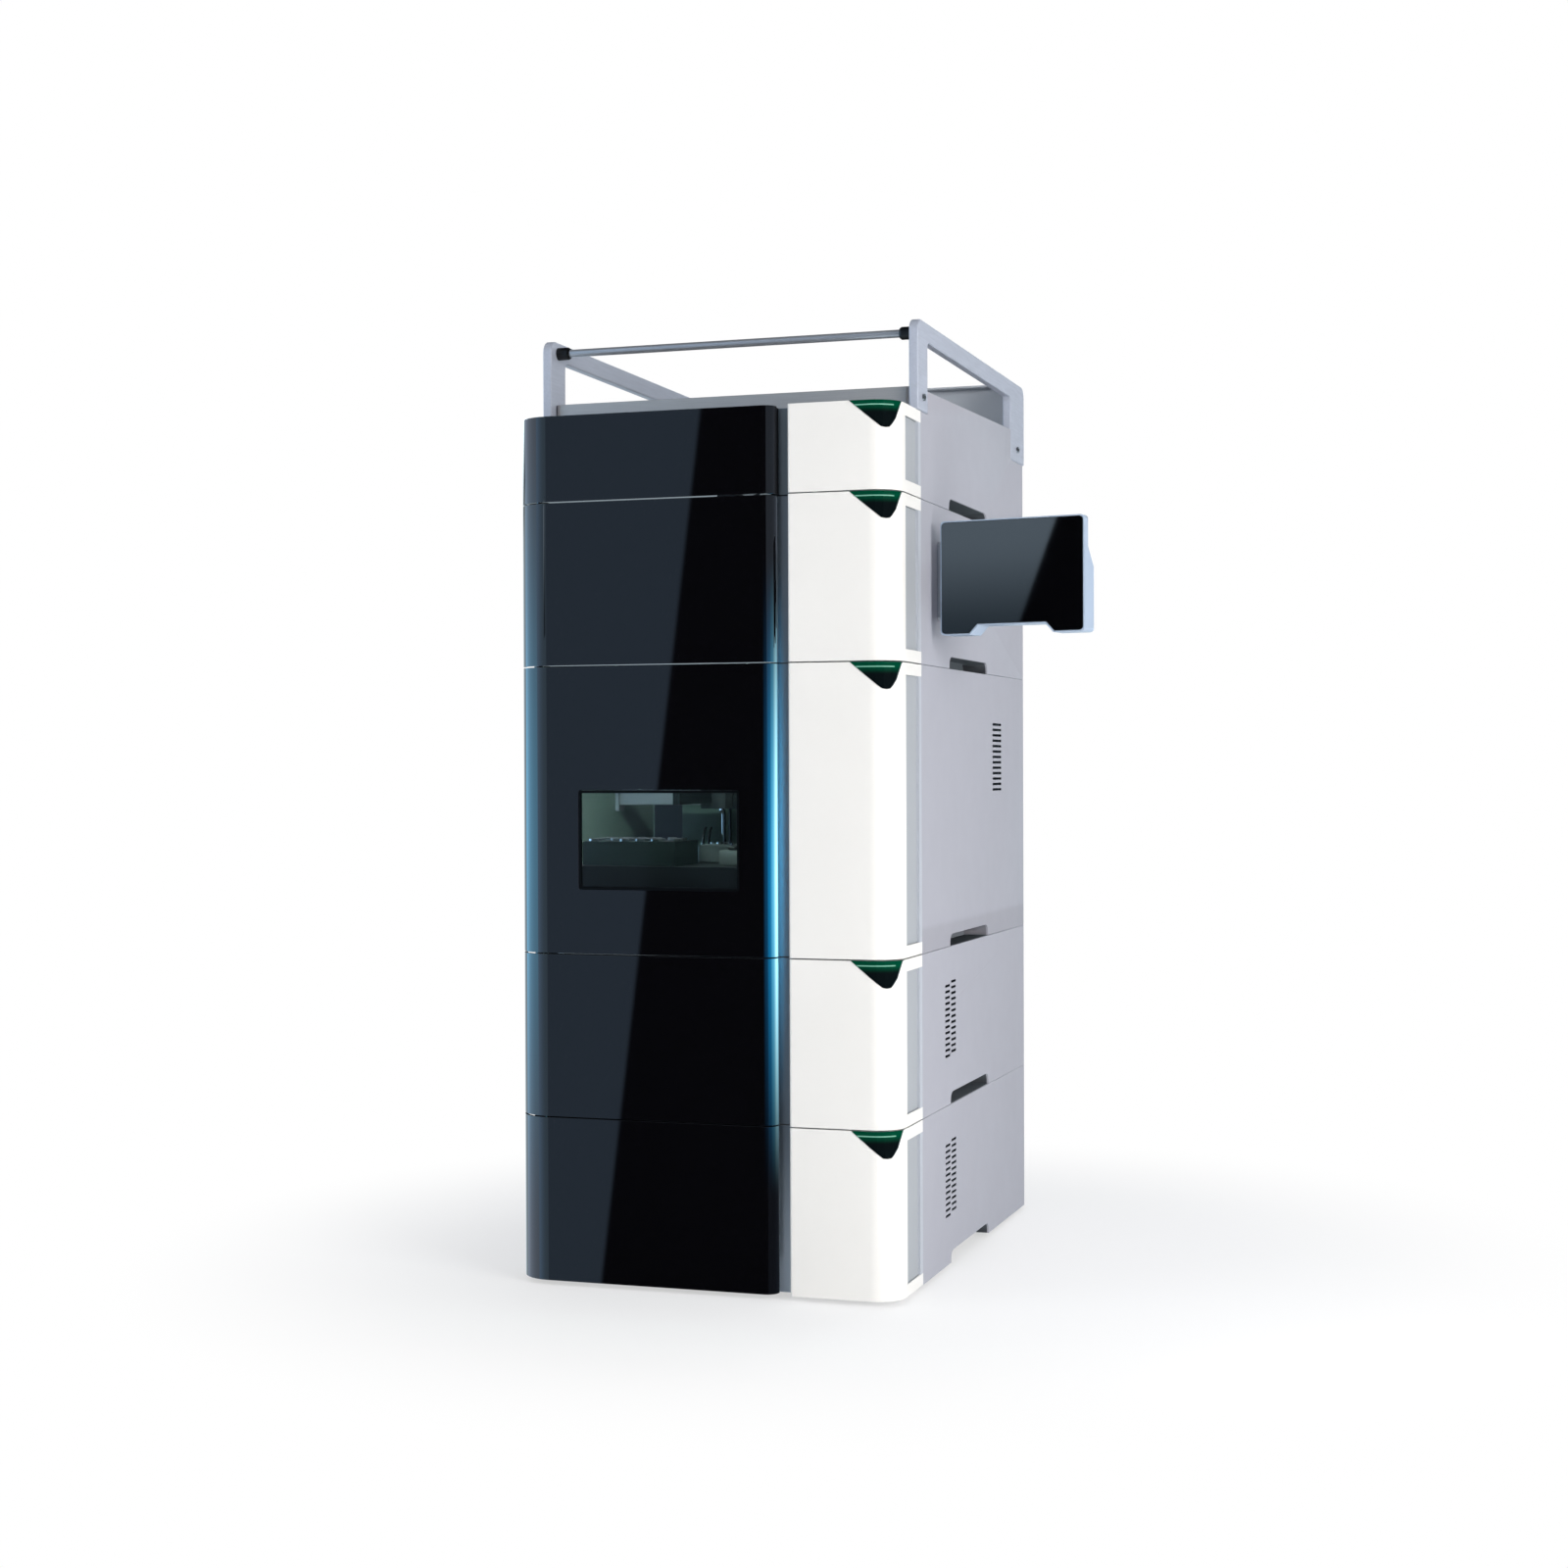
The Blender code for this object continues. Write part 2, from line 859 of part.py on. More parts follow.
def badge_outline(unit, shrink):
    """Wedge of the status light in the (x, z) plane: straight top, long left slope, round foot."""
    top = unit.top + seam
    foot = unit.front_high - badge_drop + shrink
    slope = (badge_bottom - 0.008 - badge_left) / (badge_drop - 0.004)
    left = badge_left + shrink * math.sqrt(1 + slope * slope)
    lift = unit.front_high
    points = [(badge_right - shrink, top), (badge_right - shrink, lift)]
    points += [(badge_right - 0.0035 - shrink, foot + 0.010)]
    points += [(badge_right - 0.0065 - shrink, foot + 0.0035), (badge_bottom + 0.0035, foot + 0.0006)]
    points += [(badge_bottom, foot), (badge_bottom - 0.0040, foot + 0.0008)]
    points += [(badge_bottom - 0.008 + shrink, foot + 0.004)]
    points += [(left, lift), (left, top)]
    return points


def make_fascia(unit):
    """White corner cover with a recessed grip on its side and a cut-out for the status light."""
    white_plastic = make_material(unit.name + " fascia white", white, 0.35)
    fascia = prism(
        unit.name + "_fascia",
        fascia_outline(0.0, fascia_skin, fascia_return),
        unit.front_low,
        unit.front_high,
        material=white_plastic,
    )
    inset = fascia_skin / 2
    corner = fascia_corner
    plate = [(fascia_left + inset, inset)]
    plate += arc((half - corner, corner), corner - inset, 270.0, 360.0, 6)
    plate_rear = fascia_return - plate_lip
    plate += [(half - inset, plate_rear), (fascia_left + inset, plate_rear)]
    for name, z0, z1 in (
        ("low", unit.front_low + plate_lip, unit.front_low + fascia_skin),
        ("high", unit.front_high - fascia_skin, unit.front_high - plate_lip),
    ):
        join(fascia, prism(f"{unit.name}_fascia_plate_{name}", plate, z0, z1))
    backing = box(
        unit.name + "_grip_backing",
        half - grip_depth - fascia_skin,
        half - inset,
        grip_front - inset,
        grip_rear + inset,
        unit.front_low + inset,
        unit.front_high - inset,
    )
    join(fascia, backing)
    recess = box(
        unit.name + "_grip_recess",
        half - grip_depth,
        half + grip_depth,
        grip_front,
        grip_rear,
        unit.base + grip_end,
        unit.top - grip_end,
    )
    cut(fascia, recess)
    pocket = prism(
        unit.name + "_badge_pocket",
        fascia_outline(fascia_skin, inset, corner + fascia_skin),
        unit.front_high - 2 * badge_drop,
        unit.top + seam,
    )
    wedge = badge_outline(unit, 0.0)
    hole = prism(unit.name + "_badge_hole", wedge, -2 * fascia_skin, corner, axis="y")
    combine(pocket, hole, "INTERSECT")
    cut(fascia, pocket)
    return smooth(fascia)


def make_badge(unit):
    """Status light: a wedge of the corner's own curve, a little proud of the fascia."""
    lens = make_material(unit.name + " badge lens", (0.01, 0.02, 0.02), 0.12)
    badge = prism(
        unit.name + "_badge",
        fascia_outline(badge_proud, fascia_skin / 2 - clearance, fascia_corner + fascia_skin),
        unit.front_high - 2 * badge_drop,
        unit.front_high,
        material=lens,
    )
    wedge = prism(
        unit.name + "_badge_wedge",
        badge_outline(unit, clearance),
        -2 * badge_proud,
        fascia_corner,
        axis="y",
    )
    combine(badge, wedge, "INTERSECT")
    return smooth(badge)


def make_rear_panel(unit):
    """Rear plate in the casing's opening: fan grille, mains inlet and a bay for data plugs."""
    width, low, high = rear_opening(unit)
    grey = make_material(unit.name + " rear grey", (0.42, 0.43, 0.45), 0.5)
    y0 = body_depth - rear_plate
    panel = box(
        unit.name + "_rear_panel",
        -width + clearance,
        width - clearance,
        y0,
        body_depth,
        low + clearance,
        high - clearance,
        material=grey,
    )
    centre_z = (low + high) / 2
    inlet_x = width - 1.6 * inlet_width
    inlet_z = low + inlet_height
    if unit is tray:
        inlet_z = centre_z
        inlet_low = -0.4 * (high - low)
        inlet_high = 0.4 * (high - low)
    else:
        inlet_low = -inlet_height / 2
        inlet_high = inlet_height / 2
        fan_x = -width + 1.7 * fan_radius
        pitch = 2 * fan_radius / grille_slots
        slots = []
        for row in range(grille_slots):
            z = centre_z - fan_radius + (row + 0.5) * pitch
            reach = math.sqrt(fan_radius**2 - (z - centre_z) ** 2)
            z0 = z - grille_slot_height / 2
            z1 = z + grille_slot_height / 2
            y1 = body_depth + rear_plate
            slots.append((fan_x - reach, fan_x + reach, y0 - rear_plate, y1, z0, z1))
        cut(panel, boxes(unit.name + "_fan_grille", slots))
    shell = box(
        unit.name + "_inlet_shell",
        inlet_x - inlet_width / 2 - rear_plate,
        inlet_x + inlet_width / 2 + rear_plate,
        body_depth - inlet_depth,
        rear_limit,
        inlet_z + inlet_low - rear_plate / 2,
        inlet_z + inlet_high + rear_plate / 2,
    )
    join(panel, shell)
    socket = box(
        unit.name + "_inlet_socket",
        inlet_x - inlet_width / 2,
        inlet_x + inlet_width / 2,
        body_depth - inlet_depth + rear_plate,
        rear_limit + rear_plate,
        inlet_z + inlet_low + rear_plate / 2,
        inlet_z + inlet_high - rear_plate / 2,
    )
    cut(panel, socket)
    if unit is not tray:
        port_right = inlet_x - 1.2 * inlet_width
        port = box(
            unit.name + "_port",
            port_right - port_width,
            port_right,
            y0 - rear_plate,
            body_depth + rear_plate,
            inlet_z - port_height / 2,
            inlet_z + port_height / 2,
        )
        cut(panel, port)
    return panel


def add_feet(casing):
    """Four round feet under the lowest casing."""
    bm = bmesh.new()
    for x in (-half + foot_inset, half - foot_inset):
        for y in (fascia_return + foot_radius + foot_setback, body_depth - foot_inset):
            start = (x, y, 0.0)
            end = (x, y, foot_height + casing_wall / 2)
            add_cylinder(bm, start, end, foot_radius * 0.85, 20, foot_radius)
    join(casing, link_mesh("pump_feet", bm))


def make_tray_tub(casing):
    """Opens the top casing into a tub and raises its side walls between the frame's legs."""
    unit = tray
    leg_front = frame_front + frame_front_leg + clearance
    leg_rear = frame_rear - frame_rear_leg - clearance
    base = unit.roof - casing_wall
    outline = [
        (leg_front, base),
        (leg_rear, base),
        (leg_rear, unit.top + side_wall_rise_rear),
        (leg_front, unit.top + side_wall_rise_front),
    ]
    for side in (-1, 1):
        x0 = min(side * half, side * (half - rim_thickness))
        x1 = max(side * half, side * (half - rim_thickness))
        join(casing, prism(f"tray_side_wall_{side}", outline, x0, x1, axis="x"))
    hollow = box(
        "tray_tub",
        -half + rim_thickness,
        half - rim_thickness,
        fascia_return + clearance,
        tub_rear,
        unit.top - tub_depth,
        unit.top + tub_depth,
    )
    cut(casing, hollow)


def make_bottle_tray():
    """Drip tray for the solvent bottles: folded sheet with a raised front wall."""
    unit = tray
    grey = make_material("bottle tray grey", (0.45, 0.47, 0.48), 0.4)
    wall = bottle_tray_wall
    x = half - rim_thickness - clearance
    y0 = fascia_return + 2 * clearance
    y1 = tub_rear - clearance
    low = unit.top - tub_depth + clearance
    high = unit.top + bottle_tray_rise
    pan = prism(
        "bottle_tray", rounded_rectangle(-x, x, y0, y1, 0.006, 3), low, high, material=grey
    )
    hollow = prism(
        "bottle_tray_hollow",
        rounded_rectangle(-x + wall, x - wall, y0 + wall, y1 - wall, 0.004, 3),
        low + wall,
        high + wall,
    )
    cut(pan, hollow)
    step = [(y0 + 4 * wall, unit.top - wall), (y1 + wall, unit.top - wall)]
    step += [(y1 + wall, high + wall), (y0 + 4 * wall, high + wall)]
    lowered = prism("bottle_tray_low_sides", step, -body_width, body_width, axis="x")
    cut(pan, lowered)
    return smooth(pan)


def frame_outline():
    """Side frame in the (y, z) plane: two legs and a rail with rounded outer corners."""
    low = tray.top + clearance
    high = tray.top + frame_top
    y0 = frame_front
    y1 = frame_rear
    outer = [(y0, low)]
    outer += arc((y0 + frame_corner, high - frame_corner), frame_corner, 180.0, 90.0, 5)
    outer += arc((y1 - frame_corner, high - frame_corner), frame_corner, 90.0, 0.0, 5)
    outer += [(y1, low)]
    radius = frame_window_corner
    inner_front = y0 + frame_front_leg
    inner_rear = y1 - frame_rear_leg
    under = high - frame_rail
    outer += [(inner_rear, low)]
    outer += arc((inner_rear - radius, under - radius), radius, 0.0, 90.0, 4)
    outer += arc((inner_front + radius, under - radius), radius, 90.0, 180.0, 4)
    outer += [(inner_front, low)]
    return outer


def make_rail_frame():
    """Two side frames, the front rod with its end caps, and the folded back plate."""
    x_in = half - rim_thickness
    for name, x0, x1 in (("left", -half, -x_in), ("right", x_in, half)):
        satin = make_material(f"frame {name} satin", (0.52, 0.56, 0.62), 0.35, 0.2)
        side = prism(f"side_frame_{name}", frame_outline(), x0, x1, axis="x", material=satin)
        round_off(side, 0.0012, 2, 50.0)
        smooth(side, 50.0)
    rod_z = tray.top + frame_top - rod_drop
    cap_x = x_in - clearance
    rod_x = cap_x - rod_cap_length / 2
    steel = make_material("rod steel", (0.25, 0.28, 0.31), 0.25, 0.9)
    rod = cylinder(
        "front_rod",
        (-rod_x, rod_from_front, rod_z),
        (rod_x, rod_from_front, rod_z),
        rod_radius,
        16,
        material=steel,
    )
    smooth(rod)
    profile = [
        (0.0, 0.0),
        (0.0, rod_cap_radius),
        (rod_cap_length - 0.002, rod_cap_radius),
        (rod_cap_length, rod_cap_radius - 0.0015),
        (rod_cap_length, rod_radius + clearance),
        (rod_cap_length / 2 - clearance, rod_radius + clearance),
        (rod_cap_length / 2 - clearance, 0.0),
    ]
    for name, side in (("left", -1), ("right", 1)):
        rubber = make_material(f"rod cap {name} black", (0.01, 0.01, 0.01), 0.5)
        start = (side * cap_x, rod_from_front, rod_z)
        cap = turned(f"rod_cap_{name}", profile, start, (-side, 0.0, 0.0), 16, rubber)
        smooth(cap)
    plate_grey = make_material("back plate grey", (0.36, 0.40, 0.39), 0.45, 0.2)
    x = x_in - clearance
    low = tray.top + clearance
    high = tray.top + back_plate_rise
    y0 = back_plate_y
    fold = y0 - back_plate_flange
    t = back_plate_thickness
    outline = [(fold, high - t), (fold, high), (y0 + t, high), (y0 + t, low), (y0, low), (y0, high - t)]
    plate = prism("back_plate", outline, -x, x, axis="x", material=plate_grey)
    return round_off(plate, 0.0008, 1, 50.0)


def make_window():
    """Clear pane lapped behind the opening of the autosampler's door."""
    tint = make_material("window tint", (0.05, 0.07, 0.07), 0.05)
    outline = rounded_rectangle(
        window_left - window_lap,
        window_right + window_lap,
        sampler.base + window_bottom - window_lap,
        sampler.base + window_top + window_lap,
        window_corner + window_lap,
    )
    y0 = door_skin + clearance
    pane = prism("sampler_window", outline, y0, y0 + window_thickness, axis="y", material=tint)
    return set_origin(pane, (hinge_x, hinge_from_front, sampler.base))


def make_sampler_inside():
    """Deck, vial rack and injection port of the autosampler."""
    unit = sampler
    left = liner_left + liner_wall + clearance
    right = liner_right - liner_wall - clearance
    rear = unit.bay - liner_wall - clearance
    deck_z = unit.base + deck_top
    grey = make_material("deck grey", (0.10, 0.11, 0.12), 0.4)
    deck = box(
        "sampler_deck", left, right, deck_front, rear, deck_z - deck_thickness, deck_z, grey
    )
    skirt = [
        (left, deck_front, deck_front + deck_thickness),
        (right, rear - deck_thickness, rear),
    ]
    floor = unit.base + liner_floor_rise + liner_wall + clearance
    for i, (_, y0, y1) in enumerate(skirt):
        wall = box(f"deck_skirt_{i}", left, right, y0, y1, floor, deck_z - deck_thickness / 2)
        join(deck, wall)

    length = rack_columns * rack_pitch
    depth = rack_rows * rack_pitch
    rack_low = deck_z + clearance
    green = make_material("vial rack green", (0.16, 0.24, 0.22), 0.5)
    rack = box(
        "vial_rack",
        rack_left,
        rack_left + length,
        rack_front,
        rack_front + depth,
        rack_low,
        rack_low + rack_height,
        green,
    )
    bm = bmesh.new()
    for column_index in range(rack_columns):
        for row in range(rack_rows):
            x = rack_left + (column_index + 0.5) * rack_pitch
            y = rack_front + (row + 0.5) * rack_pitch
            start = (x, y, rack_low + 0.2 * rack_height)
            add_cylinder(bm, start, (x, y, rack_low + 2 * rack_height), rack_hole_radius, 8)
    cut(rack, link_mesh("vial_holes", bm))

    low = deck_z + clearance
    block = box(
        "injection_block",
        rest_x - port_block_width / 2,
        rest_x + port_block_width / 2,
        rest_y - port_block_depth / 2,
        rest_y + port_block_depth / 2,
        low,
        low + port_block_height,
        make_material("injection block grey", (0.30, 0.31, 0.32), 0.35),
    )
    port_low = (rest_x, rest_y, low + port_floor)
    port_high = (rest_x, rest_y, low + 2 * port_block_height)
    cut(block, cylinder("port_hole", port_low, port_high, port_radius, 20))
    round_off(block, 0.0012, 1, 60.0)
    smooth(block)


def make_gantry():
    """Fixed rail, a carriage with a forward beam, a block on the beam and the needle in it."""
    unit = sampler
    z = unit.base + gantry_z
    left = liner_left + liner_wall + clearance
    right = liner_right - liner_wall - clearance
    satin = make_material("gantry aluminium", (0.55, 0.57, 0.58), 0.3, 0.9)
    section = rounded_rectangle(
        gantry_y - rail_half_depth,
        gantry_y + rail_half_depth,
        z - rail_half_height,
        z + rail_half_height,
        rail_corner,
        2,
    )
    rail = prism("gantry_rail", section, left, right, axis="x", material=satin)
    reach_y = 1.5 * rail_half_depth
    reach_z = gantry_plate_height / 2
    for name, x0 in (("left", left), ("right", right - gantry_plate)):
        outline = rounded_rectangle(
            gantry_y - reach_y, gantry_y + reach_y, z - reach_z, z + reach_z, 2 * rail_corner, 2
        )
        join(rail, prism(f"gantry_end_{name}", outline, x0, x0 + gantry_plate, axis="x"))

    gap = hinge_running_gap
    beam_x = rest_x - beam_offset
    wrap_y = rail_half_depth + gap + needle_wall
    wrap_z = rail_half_height + gap + needle_wall
    dark = make_material("carriage grey", (0.22, 0.23, 0.24), 0.4)
    carriage = box(
        "needle_carriage",
        beam_x - carriage_width / 2,
        beam_x + carriage_width / 2,
        gantry_y - wrap_y,
        gantry_y + wrap_y,
        z - wrap_z,
        z + wrap_z,
        dark,
    )
    rail_way = box(
        "carriage_way",
        beam_x - carriage_width,
        beam_x + carriage_width,
        gantry_y - rail_half_depth - gap,
        gantry_y + rail_half_depth + gap,
        z - rail_half_height - gap,
        z + rail_half_height + gap,
    )
    cut(carriage, rail_way)
    beam_front = rest_y - beam_travel - needle_block_depth / 2 - needle_wall
    beam = box(
        "carriage_beam",
        beam_x - beam_width / 2,
        beam_x + beam_width / 2,
        beam_front,
        gantry_y - wrap_y + needle_wall / 2,
        z - beam_height / 2,
        z + beam_height / 2,
    )
    join(carriage, beam)
    set_origin(carriage, (beam_x, gantry_y, z))

    grey = make_material("needle block grey", (0.45, 0.46, 0.47), 0.35)
    block_low = z - needle_block_height / 2
    block_high = z + needle_block_height / 2
    block = box(
        "needle_block",
        beam_x - beam_width / 2 - gap - needle_wall,
        rest_x + needle_rod_radius + gap + needle_wall,
        rest_y - needle_block_depth / 2,
        rest_y + needle_block_depth / 2,
        block_low,
        block_high,
        grey,
    )
    beam_way = box(
        "block_way",
        beam_x - beam_width / 2 - gap,
        beam_x + beam_width / 2 + gap,
        rest_y - needle_block_depth,
        rest_y + needle_block_depth,
        z - beam_height / 2 - gap,
        z + beam_height / 2 + gap,
    )
    cut(block, beam_way)
    needle_way = cylinder(
        "needle_way",
        (rest_x, rest_y, block_low - 0.01),
        (rest_x, rest_y, block_high + 0.01),
        needle_rod_radius + gap,
        20,
    )
    cut(block, needle_way)
    set_origin(smooth(block), (rest_x, rest_y, z))

    tip = unit.base + needle_tip_height
    rod_low = block_low - needle_wall / 2 - tip
    rod_high = block_high + needle_travel + gap - tip
    profile = [
        (0.0, 0.0),
        (2 * needle_radius, needle_radius),
        (rod_low - needle_wall, needle_radius),
        (rod_low, needle_rod_radius),
        (rod_high, needle_rod_radius),
        (rod_high, needle_head_radius),
        (rod_high + needle_head_height, needle_head_radius),
        (rod_high + needle_head_height, 0.0),
    ]
    steel = make_material("needle steel", (0.6, 0.6, 0.6), 0.25, 1.0)
    needle = turned("needle", profile, (rest_x, rest_y, tip), (0.0, 0.0, 1.0), 12, steel)
    set_origin(smooth(needle), (rest_x, rest_y, z))


def make_pump_inside():
    """Two pump heads on one flange, the purge knob and the power button."""
    unit = pump
    wall_y = unit.bay - liner_wall - clearance
    z = unit.base + head_z
    steel = make_material("pump head steel", (0.6, 0.6, 0.6), 0.25, 1.0)
    x0 = head_x - head_spacing / 2 - 1.3 * head_radius
    x1 = purge_x + 1.9 * purge_knob_radius
    plate_low = z - 1.3 * head_radius
    plate_high = z + 1.3 * head_radius
    flange = 0.012
    outline = rounded_rectangle(x0, x1, plate_low, plate_high, 0.006, 3)
    heads = prism("pump_heads", outline, wall_y - flange, wall_y, axis="y", material=steel)
    for i, side in enumerate((-1, 1)):
        x = head_x + side * head_spacing / 2
        front = wall_y - flange - head_length
        face = (x, front, z)
        join(heads, cylinder(f"head_{i}", face, (x, wall_y - flange / 2, z), head_radius, 24))
        valve_y = front + 2 * valve_radius
        low = (x, valve_y, z - head_radius - valve_height)
        high = (x, valve_y, z + head_radius + valve_height)
        join(heads, cylinder(f"check_valve_{i}", low, high, valve_radius, 6))
    boss_y = wall_y - flange - 0.010
    boss = cylinder(
        "purge_boss", (purge_x, boss_y, z), (purge_x, wall_y - flange / 2, z), 0.009, 20
    )
    join(heads, boss)
    socket = cylinder(
        "purge_socket", (purge_x, boss_y - 0.01, z), (purge_x, wall_y - 0.004, z), 0.0044, 16
    )
    cut(heads, socket)
    smooth(heads)

    knob_front = boss_y - hinge_running_gap - purge_knob_length
    profile = [
        (0.0, 0.0),
        (0.0, purge_knob_radius - 0.0015),
        (0.0015, purge_knob_radius),
        (purge_knob_length, purge_knob_radius),
        (purge_knob_length, 0.004),
        (purge_knob_length + 0.014, 0.004),
        (purge_knob_length + 0.014, 0.0),
    ]
    black = make_material("purge knob black", (0.02, 0.02, 0.02), 0.4)
    knob = turned(
        "purge_knob", profile, (purge_x, knob_front, z), (0.0, 1.0, 0.0), 24, black
    )
    bm = bmesh.new()
    for i in range(6):
        angle = math.radians(60.0 * i)
        x = purge_x + (purge_knob_radius + 0.0012) * math.cos(angle)
        zz = z + (purge_knob_radius + 0.0012) * math.sin(angle)
        add_cylinder(bm, (x, knob_front - 0.01, zz), (x, knob_front + 0.015, zz), 0.0026, 8)
    cut(knob, link_mesh("purge_flutes", bm))
    set_origin(smooth(knob), (purge_x, knob_front, z))

    button_centre = unit.base + button_z
    start = unit.bay - liner_wall - button_boss - button_proud
    profile = [
        (0.0, 0.0),
        (0.0, button_radius - 0.001),
        (0.001, button_radius),
        (button_length, button_radius),
        (button_length, 0.0),
    ]
    silver = make_material("power button silver", (0.5, 0.5, 0.5), 0.3, 0.8)
    button = turned(
        "power_button", profile, (button_x, start, button_centre), (0.0, 1.0, 0.0), 16, silver
    )
    return set_origin(smooth(button), (button_x, start, button_centre))


def make_column_inside():
    """Heater block with a half-round seat and the separation column that lies in it."""
    unit = column
    wall_y = unit.bay - liner_wall - clearance
    z = unit.base + column_z
    x0 = column_x - column_length / 2
    x1 = column_x + column_length / 2
    front = wall_y - heater_depth
    grey = make_material("heater grey", (0.28, 0.29, 0.30), 0.4, 0.5)
    outline = rounded_rectangle(
        front, wall_y, z - heater_height / 2, z + heater_height / 2, 0.004, 3
    )
    heater = prism("column_heater", outline, x0, x1, axis="x", material=grey)
    groove_radius = column_radius + clearance
    end = column_nut_length + 2 * clearance
    groove = cylinder(
        "column_groove", (x0 - 0.01, front, z), (x1 + 0.01, front, z), groove_radius, 20
    )
    cut(heater, groove)
    for i, (a, b) in enumerate(((x0 - 0.01, x0 + end), (x1 - end, x1 + 0.01))):
        pocket_radius = column_nut_radius + 2 * clearance
        cut(heater, cylinder(f"nut_pocket_{i}", (a, front, z), (b, front, z), pocket_radius, 20))
    smooth(heater)
    steel = make_material("column steel", (0.62, 0.62, 0.62), 0.22, 1.0)
    tube = cylinder("column_tube", (x0, front, z), (x1, front, z), column_radius, 24, steel)
    for i, (a, b) in enumerate(
        ((x0 - 0.006, x0 + column_nut_length), (x1 - column_nut_length, x1 + 0.006))
    ):
        join(tube, cylinder(f"column_nut_{i}", (a, front, z), (b, front, z), column_nut_radius, 12))
    return smooth(tube)


def make_detector_inside():
    """Flow cell cartridge with its handle and two tube fittings."""
    unit = detector
    wall_y = unit.bay - liner_wall - clearance
    z = unit.base + cell_z
    front = wall_y - cell_depth
    outline = rounded_rectangle(
        cell_x - cell_width / 2,
        cell_x + cell_width / 2,
        z - cell_height / 2,
        z + cell_height / 2,
        0.004,
        3,
    )
    grey = make_material("flow cell grey", (0.35, 0.36, 0.37), 0.35, 0.4)
    cell = prism("flow_cell", outline, front, wall_y, axis="y", material=grey)
    for i, offset in enumerate((-0.018, 0.018)):
        start = (cell_x + offset, front - 0.014, z)
        end = (cell_x + offset, front + 0.004, z)
        join(cell, cylinder(f"cell_fitting_{i}", start, end, 0.0045, 6))
    return smooth(cell)


def display_outline(grow):
    """Front outline of the display, with the scallop in its bottom edge, in local (x, z)."""
    x = display_width / 2 - grow
    z = display_height / 2 - grow
    r = display_corner
    low = -z
    s = scallop_width / 2 + grow
    points = [(-x + r, low)]
    points += [(-s - scallop_slope, low), (-s, low + scallop_depth)]
    points += [(s, low + scallop_depth), (s + scallop_slope, low), (x - r, low)]
    points += arc((x - r, low + r), r, 270.0, 360.0, 3)[1:]
    points += arc((x - r, z - r), r, 0.0, 90.0, 3)
    points += arc((-x + r, z - r), r, 90.0, 180.0, 3)
    points += arc((-x + r, low + r), r, 180.0, 270.0, 3)[:-1]
    return points


